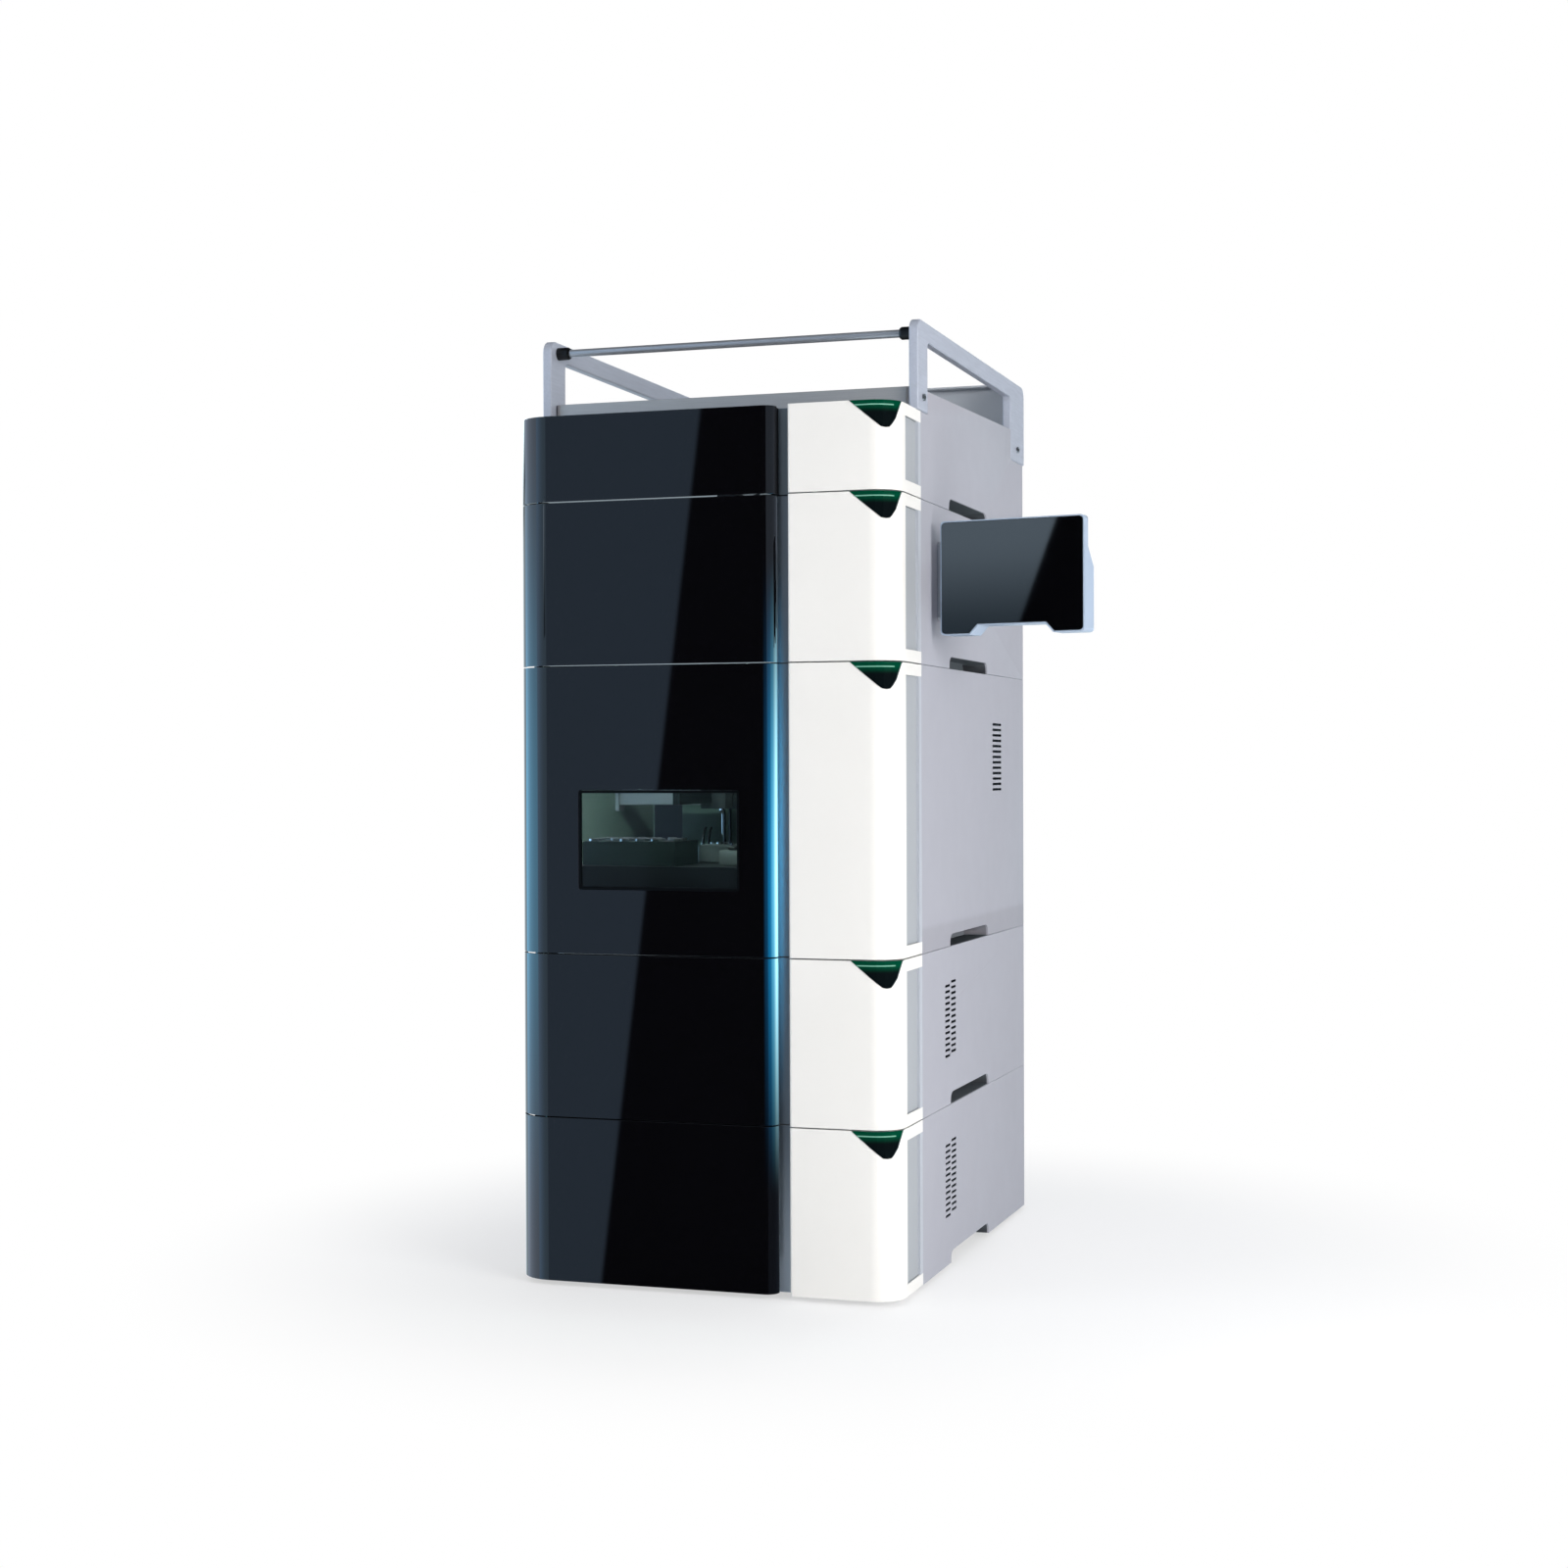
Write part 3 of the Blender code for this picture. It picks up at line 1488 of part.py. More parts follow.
def make_display():
    """Touch display, its tilting head, the swivel arm and the bracket on the detector's side."""
    back = Vector((math.sin(display_turn), math.cos(display_turn), 0.0))
    centre = Vector((display_x, display_y, foot_height + display_z))
    tilt = centre + back * tilt_axis_behind
    pose = make_empty("display_pose", tilt, -display_turn, stack)

    front = -tilt_axis_behind
    top = display_height / 2
    shell_white = make_material("display casing white", (0.75, 0.78, 0.82), 0.35)
    casing = prism(
        "display_casing",
        display_outline(0.0),
        front + glass_thickness / 2,
        front + display_thick,
        axis="y",
        material=shell_white,
        parent=pose,
    )
    slope = [
        (front + display_thin, top + 0.01),
        (front + display_thin, top - display_step),
        (front + display_thick, top - display_step - 0.020),
        (front + display_thick + 0.01, top - display_step - 0.020),
        (front + display_thick + 0.01, top + 0.01),
    ]
    thinning = prism(
        "display_thinning", slope, -display_width, display_width, axis="x", parent=pose
    )
    cut(casing, thinning)
    pocket = prism(
        "display_pocket",
        display_outline(display_border - clearance),
        front - 0.001,
        front + glass_thickness + clearance,
        axis="y",
        parent=pose,
    )
    cut(casing, pocket)
    ear_x = ear_spacing / 2
    ear_radius = 0.008
    for i, side in enumerate((-1, 1)):
        x0 = side * ear_x - ear_width / 2
        outline = [(front + display_thick - 0.002, -ear_radius), (0.0, -ear_radius)]
        outline += arc((0.0, 0.0), ear_radius, -80.0, 90.0, 8)
        outline += [(front + display_thick - 0.002, ear_radius)]
        ear = prism(f"display_ear_{i}", outline, x0, x0 + ear_width, axis="x", parent=pose)
        join(casing, ear)
    ear_bore = cylinder(
        "display_ear_bore",
        (-ear_spacing, 0.0, 0.0),
        (ear_spacing, 0.0, 0.0),
        tilt_pin_radius + clearance,
        16,
        parent=pose,
    )
    cut(casing, ear_bore)
    smooth(casing)

    glass = prism(
        "display_glass",
        display_outline(display_border),
        front,
        front + glass_thickness,
        axis="y",
        material=make_material("display glass black", (0.006, 0.007, 0.009), 0.05),
        parent=pose,
    )
    smooth(glass)

    reach = ear_spacing / 2 + ear_width / 2
    pin = cylinder(
        "tilt_pin",
        (-reach, 0.0, 0.0),
        (reach, 0.0, 0.0),
        tilt_pin_radius,
        16,
        make_material("tilt pin steel", steel_grey, 0.3, 1.0),
        pose,
    )
    smooth(pin)

    z0 = tilt.z - arm_height / 2
    z1 = tilt.z + arm_height / 2
    arm_grey = make_material("arm grey", (0.5, 0.52, 0.55), 0.4)
    swivel = Vector((swivel_x, swivel_y, 0.0))
    head = Vector((tilt.x, tilt.y, 0.0)) + back * 0.020
    along = (head - swivel).normalized()
    across = Vector((-along.y, along.x, 0.0))
    start = swivel
    end = head
    w = 0.0075
    corners = [start - across * w, end - across * w, end + across * w, start + across * w]
    arm = prism("display_arm", [(c.x, c.y) for c in corners], z0, z1, material=arm_grey)
    hub = cylinder(
        "arm_hub", (swivel_x, swivel_y, z0), (swivel_x, swivel_y, z1), swivel_boss_radius, 24
    )
    join(arm, hub)
    neck_half = ear_spacing / 2 - ear_width / 2 - hinge_running_gap
    neck = arc((0.0, 0.0), neck_radius, 90.0, 270.0, 8)
    neck += [(neck_length, -neck_radius), (neck_length, neck_radius)]
    join(arm, prism("arm_neck", neck, -neck_half, neck_half, axis="x", parent=pose))
    arm_tilt_bore = cylinder(
        "arm_tilt_bore",
        (-ear_spacing, 0.0, 0.0),
        (ear_spacing, 0.0, 0.0),
        tilt_pin_radius + hinge_running_gap,
        16,
        parent=pose,
    )
    cut(arm, arm_tilt_bore)
    arm_bore = cylinder(
        "arm_bore",
        (swivel_x, swivel_y, z0 - 0.01),
        (swivel_x, swivel_y, z1 + 0.01),
        swivel_pin_radius + hinge_running_gap,
        20,
    )
    cut(arm, arm_bore)
    set_origin(smooth(arm), (swivel_x, swivel_y, tilt.z))

    plate_x = half + clearance
    outline = rounded_rectangle(
        swivel_y - bracket_width / 2,
        swivel_y + bracket_width / 2,
        tilt.z - bracket_height / 2,
        tilt.z + bracket_height / 2,
        0.006,
        3,
    )
    bracket = prism(
        "display_bracket",
        outline,
        plate_x,
        plate_x + bracket_plate,
        axis="x",
        material=make_material("bracket grey", (0.48, 0.5, 0.53), 0.4),
    )
    cheek = 0.006
    gap = hinge_running_gap
    for name, low in (("low", z0 - gap - cheek), ("high", z1 + gap)):
        tongue = [(plate_x + bracket_plate / 2, swivel_y + swivel_boss_radius)]
        tongue += [(plate_x + bracket_plate / 2, swivel_y - swivel_boss_radius)]
        tongue += arc((swivel_x, swivel_y), swivel_boss_radius, -90.0, 90.0, 8)
        join(bracket, prism(f"bracket_cheek_{name}", tongue, low, low + cheek))
    pin_low = z0 - gap - cheek
    pin_high = z1 + gap + cheek
    bracket_bore = cylinder(
        "bracket_bore",
        (swivel_x, swivel_y, pin_low - 0.01),
        (swivel_x, swivel_y, pin_high + 0.01),
        swivel_pin_radius + clearance,
        20,
    )
    cut(bracket, bracket_bore)
    smooth(bracket)
    swivel_pin = cylinder(
        "swivel_pin",
        (swivel_x, swivel_y, pin_low),
        (swivel_x, swivel_y, pin_high),
        swivel_pin_radius,
        16,
        make_material("swivel pin steel", steel_grey, 0.3, 1.0),
    )
    smooth(swivel_pin)


for unit in modules:
    unit_casing = make_casing(unit)
    if unit in door_modules:
        add_hinge_lugs(unit_casing, unit)
        make_door(unit)
        make_liner(unit)
    if unit is pump:
        add_feet(unit_casing)
    if unit is tray:
        make_tray_tub(unit_casing)
    smooth(unit_casing)
    make_fascia(unit)
    make_badge(unit)
    make_rear_panel(unit)
make_tray_front()
make_bottle_tray()
make_rail_frame()
make_window()
make_sampler_inside()
make_gantry()
make_pump_inside()
make_column_inside()
make_detector_inside()
make_display()
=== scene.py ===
import json
from math import cos, pi, radians, sin, tau
import bpy
import bmesh
from mathutils import Matrix, Vector


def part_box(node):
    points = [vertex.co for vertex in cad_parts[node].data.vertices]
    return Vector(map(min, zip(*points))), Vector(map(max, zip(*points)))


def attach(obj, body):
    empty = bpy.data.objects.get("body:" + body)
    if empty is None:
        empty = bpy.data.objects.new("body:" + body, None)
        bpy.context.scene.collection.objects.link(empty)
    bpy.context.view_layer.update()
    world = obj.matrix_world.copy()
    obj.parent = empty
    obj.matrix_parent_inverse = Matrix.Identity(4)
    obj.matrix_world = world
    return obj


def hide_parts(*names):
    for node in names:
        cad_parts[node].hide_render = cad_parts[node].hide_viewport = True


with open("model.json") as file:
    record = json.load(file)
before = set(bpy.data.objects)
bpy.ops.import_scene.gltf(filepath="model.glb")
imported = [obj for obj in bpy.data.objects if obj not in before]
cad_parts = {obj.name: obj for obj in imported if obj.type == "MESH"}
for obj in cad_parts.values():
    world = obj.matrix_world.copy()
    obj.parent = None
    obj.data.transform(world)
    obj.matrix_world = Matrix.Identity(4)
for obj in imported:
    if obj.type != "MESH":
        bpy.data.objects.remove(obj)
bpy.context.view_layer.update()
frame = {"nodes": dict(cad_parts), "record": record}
nodes = frame["nodes"]

middleX = (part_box("pump_casing")[0].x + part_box("pump_casing")[1].x) / 2
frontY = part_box("pump_fascia")[0].y
halfWidth = 0.210
seam = 0.0007   # from a module's own level to the edge of its fascia
modules = ("pump", "column", "sampler", "detector", "tray")
base = {name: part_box(name + "_fascia")[0].z - seam for name in modules}
top = {name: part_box(name + "_fascia")[1].z + seam for name in modules}
toTop, toRight, toFront, toBack = (0, 0, 1), (1, 0, 0), (0, -1, 0), (0, 1, 0)


def at(x, y, z):
    # a place on the tower: from its middle, its front and the bench
    return Vector((middleX + x, frontY + y, z))


def raised(level, points):
    # places measured up from a level of the tower
    return [(x, y, level + z) for x, y, z in points]


# shaders
class Wire:
    # a socket that can be used in sums
    def __init__(self, tree, socket=None):
        self.tree = tree
        self.socket = socket

    def node(self, kind, settings, values, output=0):
        made = self.tree.nodes.new(kind)
        for name, value in settings.items():
            setattr(made, name, value)
        for name, value in values.items():
            if isinstance(value, Wire):
                self.tree.links.new(value.socket, made.inputs[name])
            else:
                made.inputs[name].default_value = value
        return Wire(self.tree, made.outputs[output])

    def sum(self, operation, *values):
        return self.node("ShaderNodeMath", {"operation": operation}, dict(enumerate(values)))

    def __add__(self, other):
        return self.sum("ADD", self, other)

    def __radd__(self, other):
        return self.sum("ADD", other, self)

    def __sub__(self, other):
        return self.sum("SUBTRACT", self, other)

    def __rsub__(self, other):
        return self.sum("SUBTRACT", other, self)

    def __mul__(self, other):
        return self.sum("MULTIPLY", self, other)

    def __rmul__(self, other):
        return self.sum("MULTIPLY", other, self)

    def __gt__(self, other):
        return self.sum("GREATER_THAN", self, other)

    def __lt__(self, other):
        return self.sum("LESS_THAN", self, other)


def paint(red, green, blue):
    # a colour as a screen shows it, made linear
    shares = [value / 255 for value in (red, green, blue)]
    return tuple(((s + 0.055) / 1.055) ** 2.4 if s > 0.04 else s / 12.92 for s in shares) + (1.0,)


def darker(colour, share):
    return tuple(value * share for value in colour[:3]) + (1.0,)


def rise(value, start, end):
    # 0 before start, 1 after end, soft between
    settings = {"interpolation_type": "SMOOTHSTEP"}
    return value.node("ShaderNodeMapRange", settings, {0: value, 1: start, 2: end, 3: 0.0, 4: 1.0})


def mix(factor, first, second):
    return factor.node("ShaderNodeMix", {"data_type": "RGBA"}, {0: factor, 6: first, 7: second}, 2)


def noise(place, scale, detail=2.0, stretch=None):
    if stretch:
        place = place.node("ShaderNodeMapping", {}, {"Vector": place, "Scale": stretch})
    return place.node("ShaderNodeTexNoise", {}, {"Vector": place, "Scale": scale, "Detail": detail})


def bump(height, strength, distance):
    return height.node("ShaderNodeBump", {}, {"Height": height, "Strength": strength, "Distance": distance})


def component(vector, index):
    return vector.node("ShaderNodeSeparateXYZ", {}, {"Vector": vector}, index)


def length(vector):
    return vector.node("ShaderNodeVectorMath", {"operation": "LENGTH"}, {0: vector}, 1)


def axes(place):
    # x, y and z as measured on the tower
    x, y, z = (component(place, index) for index in range(3))
    return x - middleX, y - frontY, z


def newMaterial(name):
    # a material, its nodes and its Object coordinates
    material = bpy.data.materials.new(name)
    material.use_nodes = True
    tree = material.node_tree
    return material, tree, Wire(tree).node("ShaderNodeTexCoord", {}, {}, 3)


def newFinish(name, **constants):
    # a Principled material; returns it, its Object coordinates and a call that feeds its sockets
    material, tree, place = newMaterial(name)
    shader = tree.nodes["Principled BSDF"]
    for key, value in constants.items():
        shader.inputs[key.replace("_", " ")].default_value = value

    def feed(socket, wire):
        tree.links.new(wire.socket, shader.inputs[socket])

    return material, place, feed


def plastic(name, colour, roughness, grain=0.35, **constants):
    # moulded plastic: spark-eroded grain, faint patches of shade and of gloss
    material, place, feed = newFinish(name, **constants)
    feed("Base Color", mix(noise(place, 14, 4.0) * 0.9, colour, darker(colour, 0.85)))
    feed("Roughness", roughness - 0.04 + noise(place, 60, 3.0) * 0.08)
    feed("Normal", bump(noise(place, 2200, 3.0), grain, 0.00006))
    return material


def orangePeel(place):
    # the fine waves of powder coat
    return bump(noise(place, 900) * 0.7 + noise(place, 3200) * 0.3, 0.30, 0.00008)


def coated(name, colour, roughness):
    # powder coat on sheet, with a few duller patches
    material, place, feed = newFinish(name)
    feed("Base Color", mix(noise(place, 9, 3.0), colour, darker(colour, 0.93)))
    feed("Roughness", roughness - 0.05 + noise(place, 35, 3.0) * 0.10)
    feed("Normal", orangePeel(place))
    return material


def metal(name, colour, roughness, stretch, grain=0.25, metallic=1.0):
    # brushed metal: lines of polish that run the way the stretch is small
    material, place, feed = newFinish(name, Metallic=metallic)
    lines = noise(place, 1.0, 4.0, stretch)
    feed("Base Color", mix(lines, colour, darker(colour, 0.80)))
    feed("Roughness", roughness - 0.07 + lines * 0.14)
    feed("Normal", bump(lines, grain, 0.00004))
    return material


def mottled(name, colours, roughness, glow=None, **constants):
    # smooth, with colour and gloss that waver; each starts with its noise's scale and detail
    material, place, feed = newFinish(name, **constants)
    feed("Base Color", mix(noise(place, *colours[0]), *colours[1:]))
    feed("Roughness", roughness[1] + noise(place, *roughness[0]) * roughness[2])
    if glow:
        feed("Emission Color", mix(noise(place, *glow[0]), *glow[1:]))
    return material


# meshes
def bevel(shape, edges, offset, segments=2, **more):
    bmesh.ops.bevel(shape, geom=edges, offset=offset, offset_type="OFFSET", affect="EDGES",
        segments=segments, profile=0.5, material=-1, **more)


def extrude(shape, faces, move):
    made = bmesh.ops.extrude_face_region(shape, geom=faces)["geom"]
    verts = [item for item in made if isinstance(item, bmesh.types.BMVert)]
    bmesh.ops.translate(shape, vec=move, verts=verts)
    return made


def addCuboid(shape, size, middle, soft, segments, turn=None):
    # a block with rounded edges, turned about its own middle
    made = bmesh.ops.create_cube(shape, size=1.0)["verts"]
    bmesh.ops.scale(shape, vec=size, verts=made)
    if turn:
        bmesh.ops.rotate(shape, cent=(0, 0, 0), matrix=turn, verts=made)
    bmesh.ops.translate(shape, vec=middle, verts=made)
    bevel(shape, list({edge for vert in made for edge in vert.link_edges}), soft, segments)


def addBlock(shape, low, high, soft=0.0005, segments=2):
    # a block between two corners of the tower
    low, high = at(*low), at(*high)
    addCuboid(shape, high - low, (low + high) / 2, soft, segments)


def addTurned(shape, profile, start, direction, steps):
    # (radius, distance) points turned about a line that starts at a place on the tower
    before = set(shape.verts)
    line = [shape.verts.new((radius, 0, distance)) for radius, distance in profile]
    edges = [shape.edges.new(pair) for pair in zip(line, line[1:])]
    bmesh.ops.spin(shape, geom=line + edges, cent=(0, 0, 0), axis=(0, 0, 1), dvec=(0, 0, 0),
        angle=tau, steps=steps, use_merge=True, use_duplicate=False)
    made = [vert for vert in shape.verts if vert not in before]
    bmesh.ops.remove_doubles(shape, verts=made, dist=1e-7)
    made = [vert for vert in shape.verts if vert not in before]
    turn = Vector((0, 0, 1)).rotation_difference(Vector(direction)).to_matrix()
    bmesh.ops.rotate(shape, cent=(0, 0, 0), matrix=turn, verts=made)
    bmesh.ops.translate(shape, vec=at(*start), verts=made)


def addScrew(shape, profile, start, direction, steps=16):
    # a head turned from its socket outward, and the floor of its six-sided socket
    radius, depth = profile[0]
    addTurned(shape, profile, start, direction, steps)
    addTurned(shape, [(0, depth + 0.0001), (radius + 0.0001, depth + 0.0001)], start, direction, 6)


def addNut(shape, profile, start, direction, steps=6):
    # a nut or fitting, closed at both ends
    addTurned(shape, [(0, 0), *profile, (0, profile[-1][1])], start, direction, steps)


def addTube(shape, points, radius=0.0008):
    # a bent tube through places on the tower
    curve = bpy.data.curves.new("bend", "CURVE")
    curve.dimensions = "3D"
    curve.bevel_depth = radius
    curve.bevel_resolution = 2
    curve.use_fill_caps = True
    curve.resolution_u = 5
    spline = curve.splines.new("NURBS")
    spline.points.add(len(points) - 1)
    for point, place in zip(spline.points, points):
        point.co = (*at(*place), 1.0)
    spline.order_u = 4
    spline.use_endpoint_u = True
    holder = bpy.data.objects.new("bend", curve)
    mesh = bpy.data.meshes.new_from_object(holder)
    shape.from_mesh(mesh)
    bpy.data.objects.remove(holder)
    bpy.data.meshes.remove(mesh)
    bpy.data.curves.remove(curve)


def newPiece(name, shape, material, body="stack", sharp=35, merge=True):
    # the finished mesh becomes an object that rides on a body
    if merge:
        bmesh.ops.remove_doubles(shape, verts=shape.verts[:], dist=1e-6)
        bmesh.ops.recalc_face_normals(shape, faces=shape.faces[:])
    mesh = bpy.data.meshes.new(name)
    shape.to_mesh(mesh)
    shape.free()
    mesh.materials.append(material)
    for polygon in mesh.polygons:
        polygon.use_smooth = True
    mesh.set_sharp_from_angle(angle=radians(sharp))
    piece = bpy.data.objects.new(name, mesh)
    bpy.context.scene.collection.objects.link(piece)
    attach(piece, body)
    return piece


bodyOf = {node: body for body, group in frame["record"]["behaviour"]["bodies"].items() for node in group}


def softened(nodeName, material, radius, least=0.004, whole=True, spared=None):
    # the node's own shape with its long sharp edges rounded, but not in front of a spared node;
    # it takes the node's place
    shape = bmesh.new()
    shape.from_mesh(nodes[nodeName].data)
    bmesh.ops.remove_doubles(shape, verts=shape.verts[:], dist=2e-6)
    if whole:
        bmesh.ops.dissolve_limit(shape, angle_limit=radians(0.5), verts=shape.verts[:],
            edges=shape.edges[:], use_dissolve_boundaries=False)
    rims = [edge for edge in shape.edges if len(edge.link_faces) == 2
        and edge.calc_face_angle() > radians(40) and edge.calc_length() > least]
    if spared:
        low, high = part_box(spared)
        middles = {edge: (edge.verts[0].co + edge.verts[1].co) / 2 for edge in rims}
        rims = [edge for edge in rims
            if not (low.x < middles[edge].x < high.x and low.z < middles[edge].z < high.z)]
    bevel(shape, rims, radius, clamp_overlap=True, loop_slide=False)
    piece = newPiece(nodeName + "_finished", shape, material, bodyOf[nodeName],
        50 if whole else 16, merge=False)
    if whole:
        flat = piece.modifiers.new("flat faces stay flat", "WEIGHTED_NORMAL")
        flat.weight = 100
        flat.keep_sharp = True
    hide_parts(nodeName)
    return piece


def finishNode(nodeName, material):
    node = nodes[nodeName]
    if not node.material_slots:
        node.data.materials.append(material)
    for slot in node.material_slots:
        slot.material = material


print("frame loaded:", len(nodes), "nodes")

# white corner fascias; the recessed grip on the side and the band behind it are painted grey
fascia = {"white": paint(231, 229, 225), "grip": paint(161, 165, 170), "border": paint(174, 178, 186),
    "roughness": 0.34, "edge": 0.0007, "gripEnds": 0.0128, "gripFront": 0.0338, "gripBack": 0.0842,
    "gripSide": 0.2091, "borderFront": 0.0838}


def fasciaFinish(name):
    material, place, feed = newFinish(name + " fascia white")
    x, y, z = axes(place)
    height = (z > base[name] + fascia["gripEnds"]) * (z < top[name] - fascia["gripEnds"])
    height = height * (y > fascia["gripFront"])
    grip = height * (y < fascia["gripBack"]) * (x < fascia["gripSide"])
    border = height * (y > fascia["borderFront"])
    white = mix(noise(place, 11, 4.0), fascia["white"], darker(fascia["white"], 0.95))
    feed("Base Color", mix(border, mix(grip, white, fascia["grip"]), fascia["border"]))
    feed("Roughness", fascia["roughness"] + grip * 0.16 + noise(place, 45, 3.0) * 0.06)
    feed("Normal", bump(noise(place, 2600, 3.0) * (1 + grip * 2), 0.25, 0.00005))
    return material


for name in modules:
    softened(name + "_fascia", fasciaFinish(name), fascia["edge"])
print("fascias done")

# casings, side panels
casing = {"paint": paint(166, 166, 175), "inner": paint(58, 60, 64), "vents": paint(6, 6, 8),
    "rim": paint(205, 208, 220), "band": paint(146, 144, 152), "foot": paint(16, 16, 18),
    "roughness": 0.42, "edge": 0.0011, "innerSide": 0.2080, "back": 0.588, "footHeight": 0.0049,
    "ventSide": 0.2096, "ventEnds": 0.020, "ventFront": 0.150, "ventBack": 0.540, "bandFront": 0.0953}


def casingFinish(name):
    material, place, feed = newFinish(name + " casing paint")
    x, y, z = axes(place)
    # painted highlight: the last few millimetres before the rear edge are paler and bluer
    rim = rise(y, casing["back"] - 0.0025, casing["back"] + 0.0005)
    foot = z < casing["footHeight"]
    side = x.sum("ABSOLUTE", x)
    vents = (z > base[name] + casing["ventEnds"]) * (z < top[name] - casing["ventEnds"])
    vents = vents * (y > casing["ventFront"])
    colour = mix(noise(place, 7, 3.0), casing["paint"], darker(casing["paint"], 0.95))
    # painted shade: faces inside the side's outer skin, in the hand-holds, the slots and the seams between
    # modules, are darkened
    colour = mix((side < casing["innerSide"]) * (y < casing["back"]), colour, casing["inner"])
    # painted shade: the walls of the vent slots are painted near black
    colour = mix(vents * (side < casing["ventSide"]) * (y < casing["ventBack"]), colour, casing["vents"])
    colour = mix(rim * 0.25, colour, casing["rim"])
    if name == "sampler":
        # a deeper band along the foot of the sampler's side
        band = 1 - rise(z, base[name] + 0.022, base[name] + 0.030)
        colour = mix(band * 0.55 * (y > casing["bandFront"]), colour, casing["band"])
    feed("Base Color", mix(foot, colour, casing["foot"]))
    feed("Roughness", casing["roughness"] - 0.05 + noise(place, 35, 3.0) * 0.10 + foot * 0.3)
    feed("Normal", orangePeel(place))
    return material


for name in modules:
    softened(name + "_casing", casingFinish(name), casing["edge"], 0.02, whole=False)
print("casings done")

# gloss black fronts
front = {"black": paint(5, 5, 7), "inner": paint(40, 42, 46), "channel": paint(100, 112, 122),
    "roughness": 0.015, "edge": 0.0006, "channelLeft": 0.0806, "freeEdge": 0.0745,
    "topStarts": (0.15, 0.45), "otherTopStarts": (0.80, 0.95)}


def doorFinish(name):
    # gloss is a clear coat on the outside alone
    material, place, feed = newFinish(name + " front black", Specular_IOR_Level=0.0, Coat_IOR=1.5,
        Coat_Roughness=front["roughness"])
    x, y, z = axes(place)
    facing = place.node("ShaderNodeTexCoord", {}, {}, 1)
    across = place.node("ShaderNodeVectorMath", {"operation": "DOT_PRODUCT"},
        {0: facing, 1: (-0.35, -0.94, 0.0)}, 1)
    outside = rise(across, -0.03, 0.02)
    colour = front["inner"]
    if name == "tray":
        # the fixed front runs on as the channel beside it
        channel = x > front["channelLeft"]
        outside = outside * (1 - channel)
        colour = mix(channel, colour, front["channel"])
    else:
        outside = outside.sum("MAXIMUM", outside, x > front["freeEdge"])
    # no gloss on the tops; the seam over the lowest front stays dark
    topStarts = front["topStarts"] if name == "pump" else front["otherTopStarts"]
    outside = outside * (1 - rise(component(facing, 2), *topStarts))
    feed("Base Color", mix(outside, colour, front["black"]))
    feed("Roughness", 0.48 + noise(place, 30, 3.0) * 0.06)
    feed("Normal", bump(noise(place, 2200, 3.0) * (1 - outside), 0.2, 0.00008))
    feed("Coat Weight", outside - noise(place, 120) * 0.02)
    return material


for name in modules:
    softened("tray_front_panel" if name == "tray" else name + "_door", doorFinish(name), front["edge"], 0.003,
        spared="sampler_window" if name == "sampler" else None)
print("fronts done")

# status lights
badge = {"lens": paint(8, 14, 16), "green": paint(0, 62, 42), "glow": (0.0, 0.022, 0.012, 1),
    "line": (paint(120, 172, 152), paint(96, 150, 130)), "lineGlow": ((0.1, 0.4, 0.28, 1), (0.08, 0.3, 0.2, 1)),
    "left": 0.1672, "height": 0.0011, "inner": -0.0006, "proud": 0.0005, "below": 0.0042, "turn": 52.0,
    "corner": 0.030}


def badgeFinish(name):
    material, place, feed = newFinish(name + " status lens", Specular_IOR_Level=0.12)
    x, y, z = axes(place)
    high = top[name] - seam
    glow = rise(z, high - 0.0125, high - 0.0040)
    feed("Base Color", mix(glow, badge["lens"], badge["green"]))
    feed("Roughness", 0.10 + noise(place, 40) * 0.06)
    feed("Emission Color", mix(glow, (0, 0, 0, 1), badge["glow"]))
    return material


def addStatusBar(name):
    # a slim light that follows the corner
    shape = bmesh.new()
    z = top[name] - seam - badge["below"]
    low = z - badge["height"]
    inner, outer = badge["inner"], badge["inner"] - badge["proud"]
    bend = halfWidth - badge["corner"]
    corners = [(outer, z), (inner, z), (inner, low), (outer, low)]
    face = shape.faces.new([shape.verts.new(at(badge["left"], *corner)) for corner in corners])
    run = extrude(shape, [face], (bend - badge["left"], 0, 0))
    end = [item for item in run if isinstance(item, bmesh.types.BMFace)]
    bmesh.ops.spin(shape, geom=end, cent=at(bend, badge["corner"], z), axis=(0, 0, 1), dvec=(0, 0, 0),
        angle=radians(badge["turn"]), steps=10, use_merge=False)
    material = mottled(name + " status line", ((300,), *badge["line"]), ((200,), 0.28, 0.1),
        ((120,), *badge["lineGlow"]), Emission_Strength=0.25)
    newPiece(name + "_status_line", shape, material)


for name in modules:
    finishNode(name + "_badge", badgeFinish(name))
    addStatusBar(name)
print("status lights done")

# liners, pins, rear plates
liner = {"grey": paint(52, 57, 66), "channel": paint(100, 112, 124), "foot": paint(168, 180, 192),
    "wall": paint(176, 196, 190), "channelLeft": 0.0750, "channelBack": 0.0190, "wallRight": -0.2035,
    "wallBack": 0.3995}


def linerFinish(name):
    material, place, feed = newFinish(name + " liner grey")
    x, y, z = axes(place)
    inChannel = (x > liner["channelLeft"]) * (y < liner["channelBack"])
    colour = mix(noise(place, 14, 4.0), liner["grey"], darker(liner["grey"], 0.85))
    if name == "sampler":
        # painted light: the left wall of this compartment is painted pale, as if lit
        colour = mix((x < liner["wallRight"]) * (y < liner["wallBack"]), colour, liner["wall"])
    channel = liner["channel"]
    # painted light: the pump's channel turns paler toward its foot
    if name == "pump":
        channel = mix(1 - rise(z, 0.01, 0.19), channel, liner["foot"])
    feed("Base Color", mix(inChannel, colour, channel))
    feed("Roughness", 0.40 + noise(place, 60, 3.0) * 0.08)
    feed("Normal", bump(noise(place, 1500, 3.0), 0.5, 0.00006))
    return material


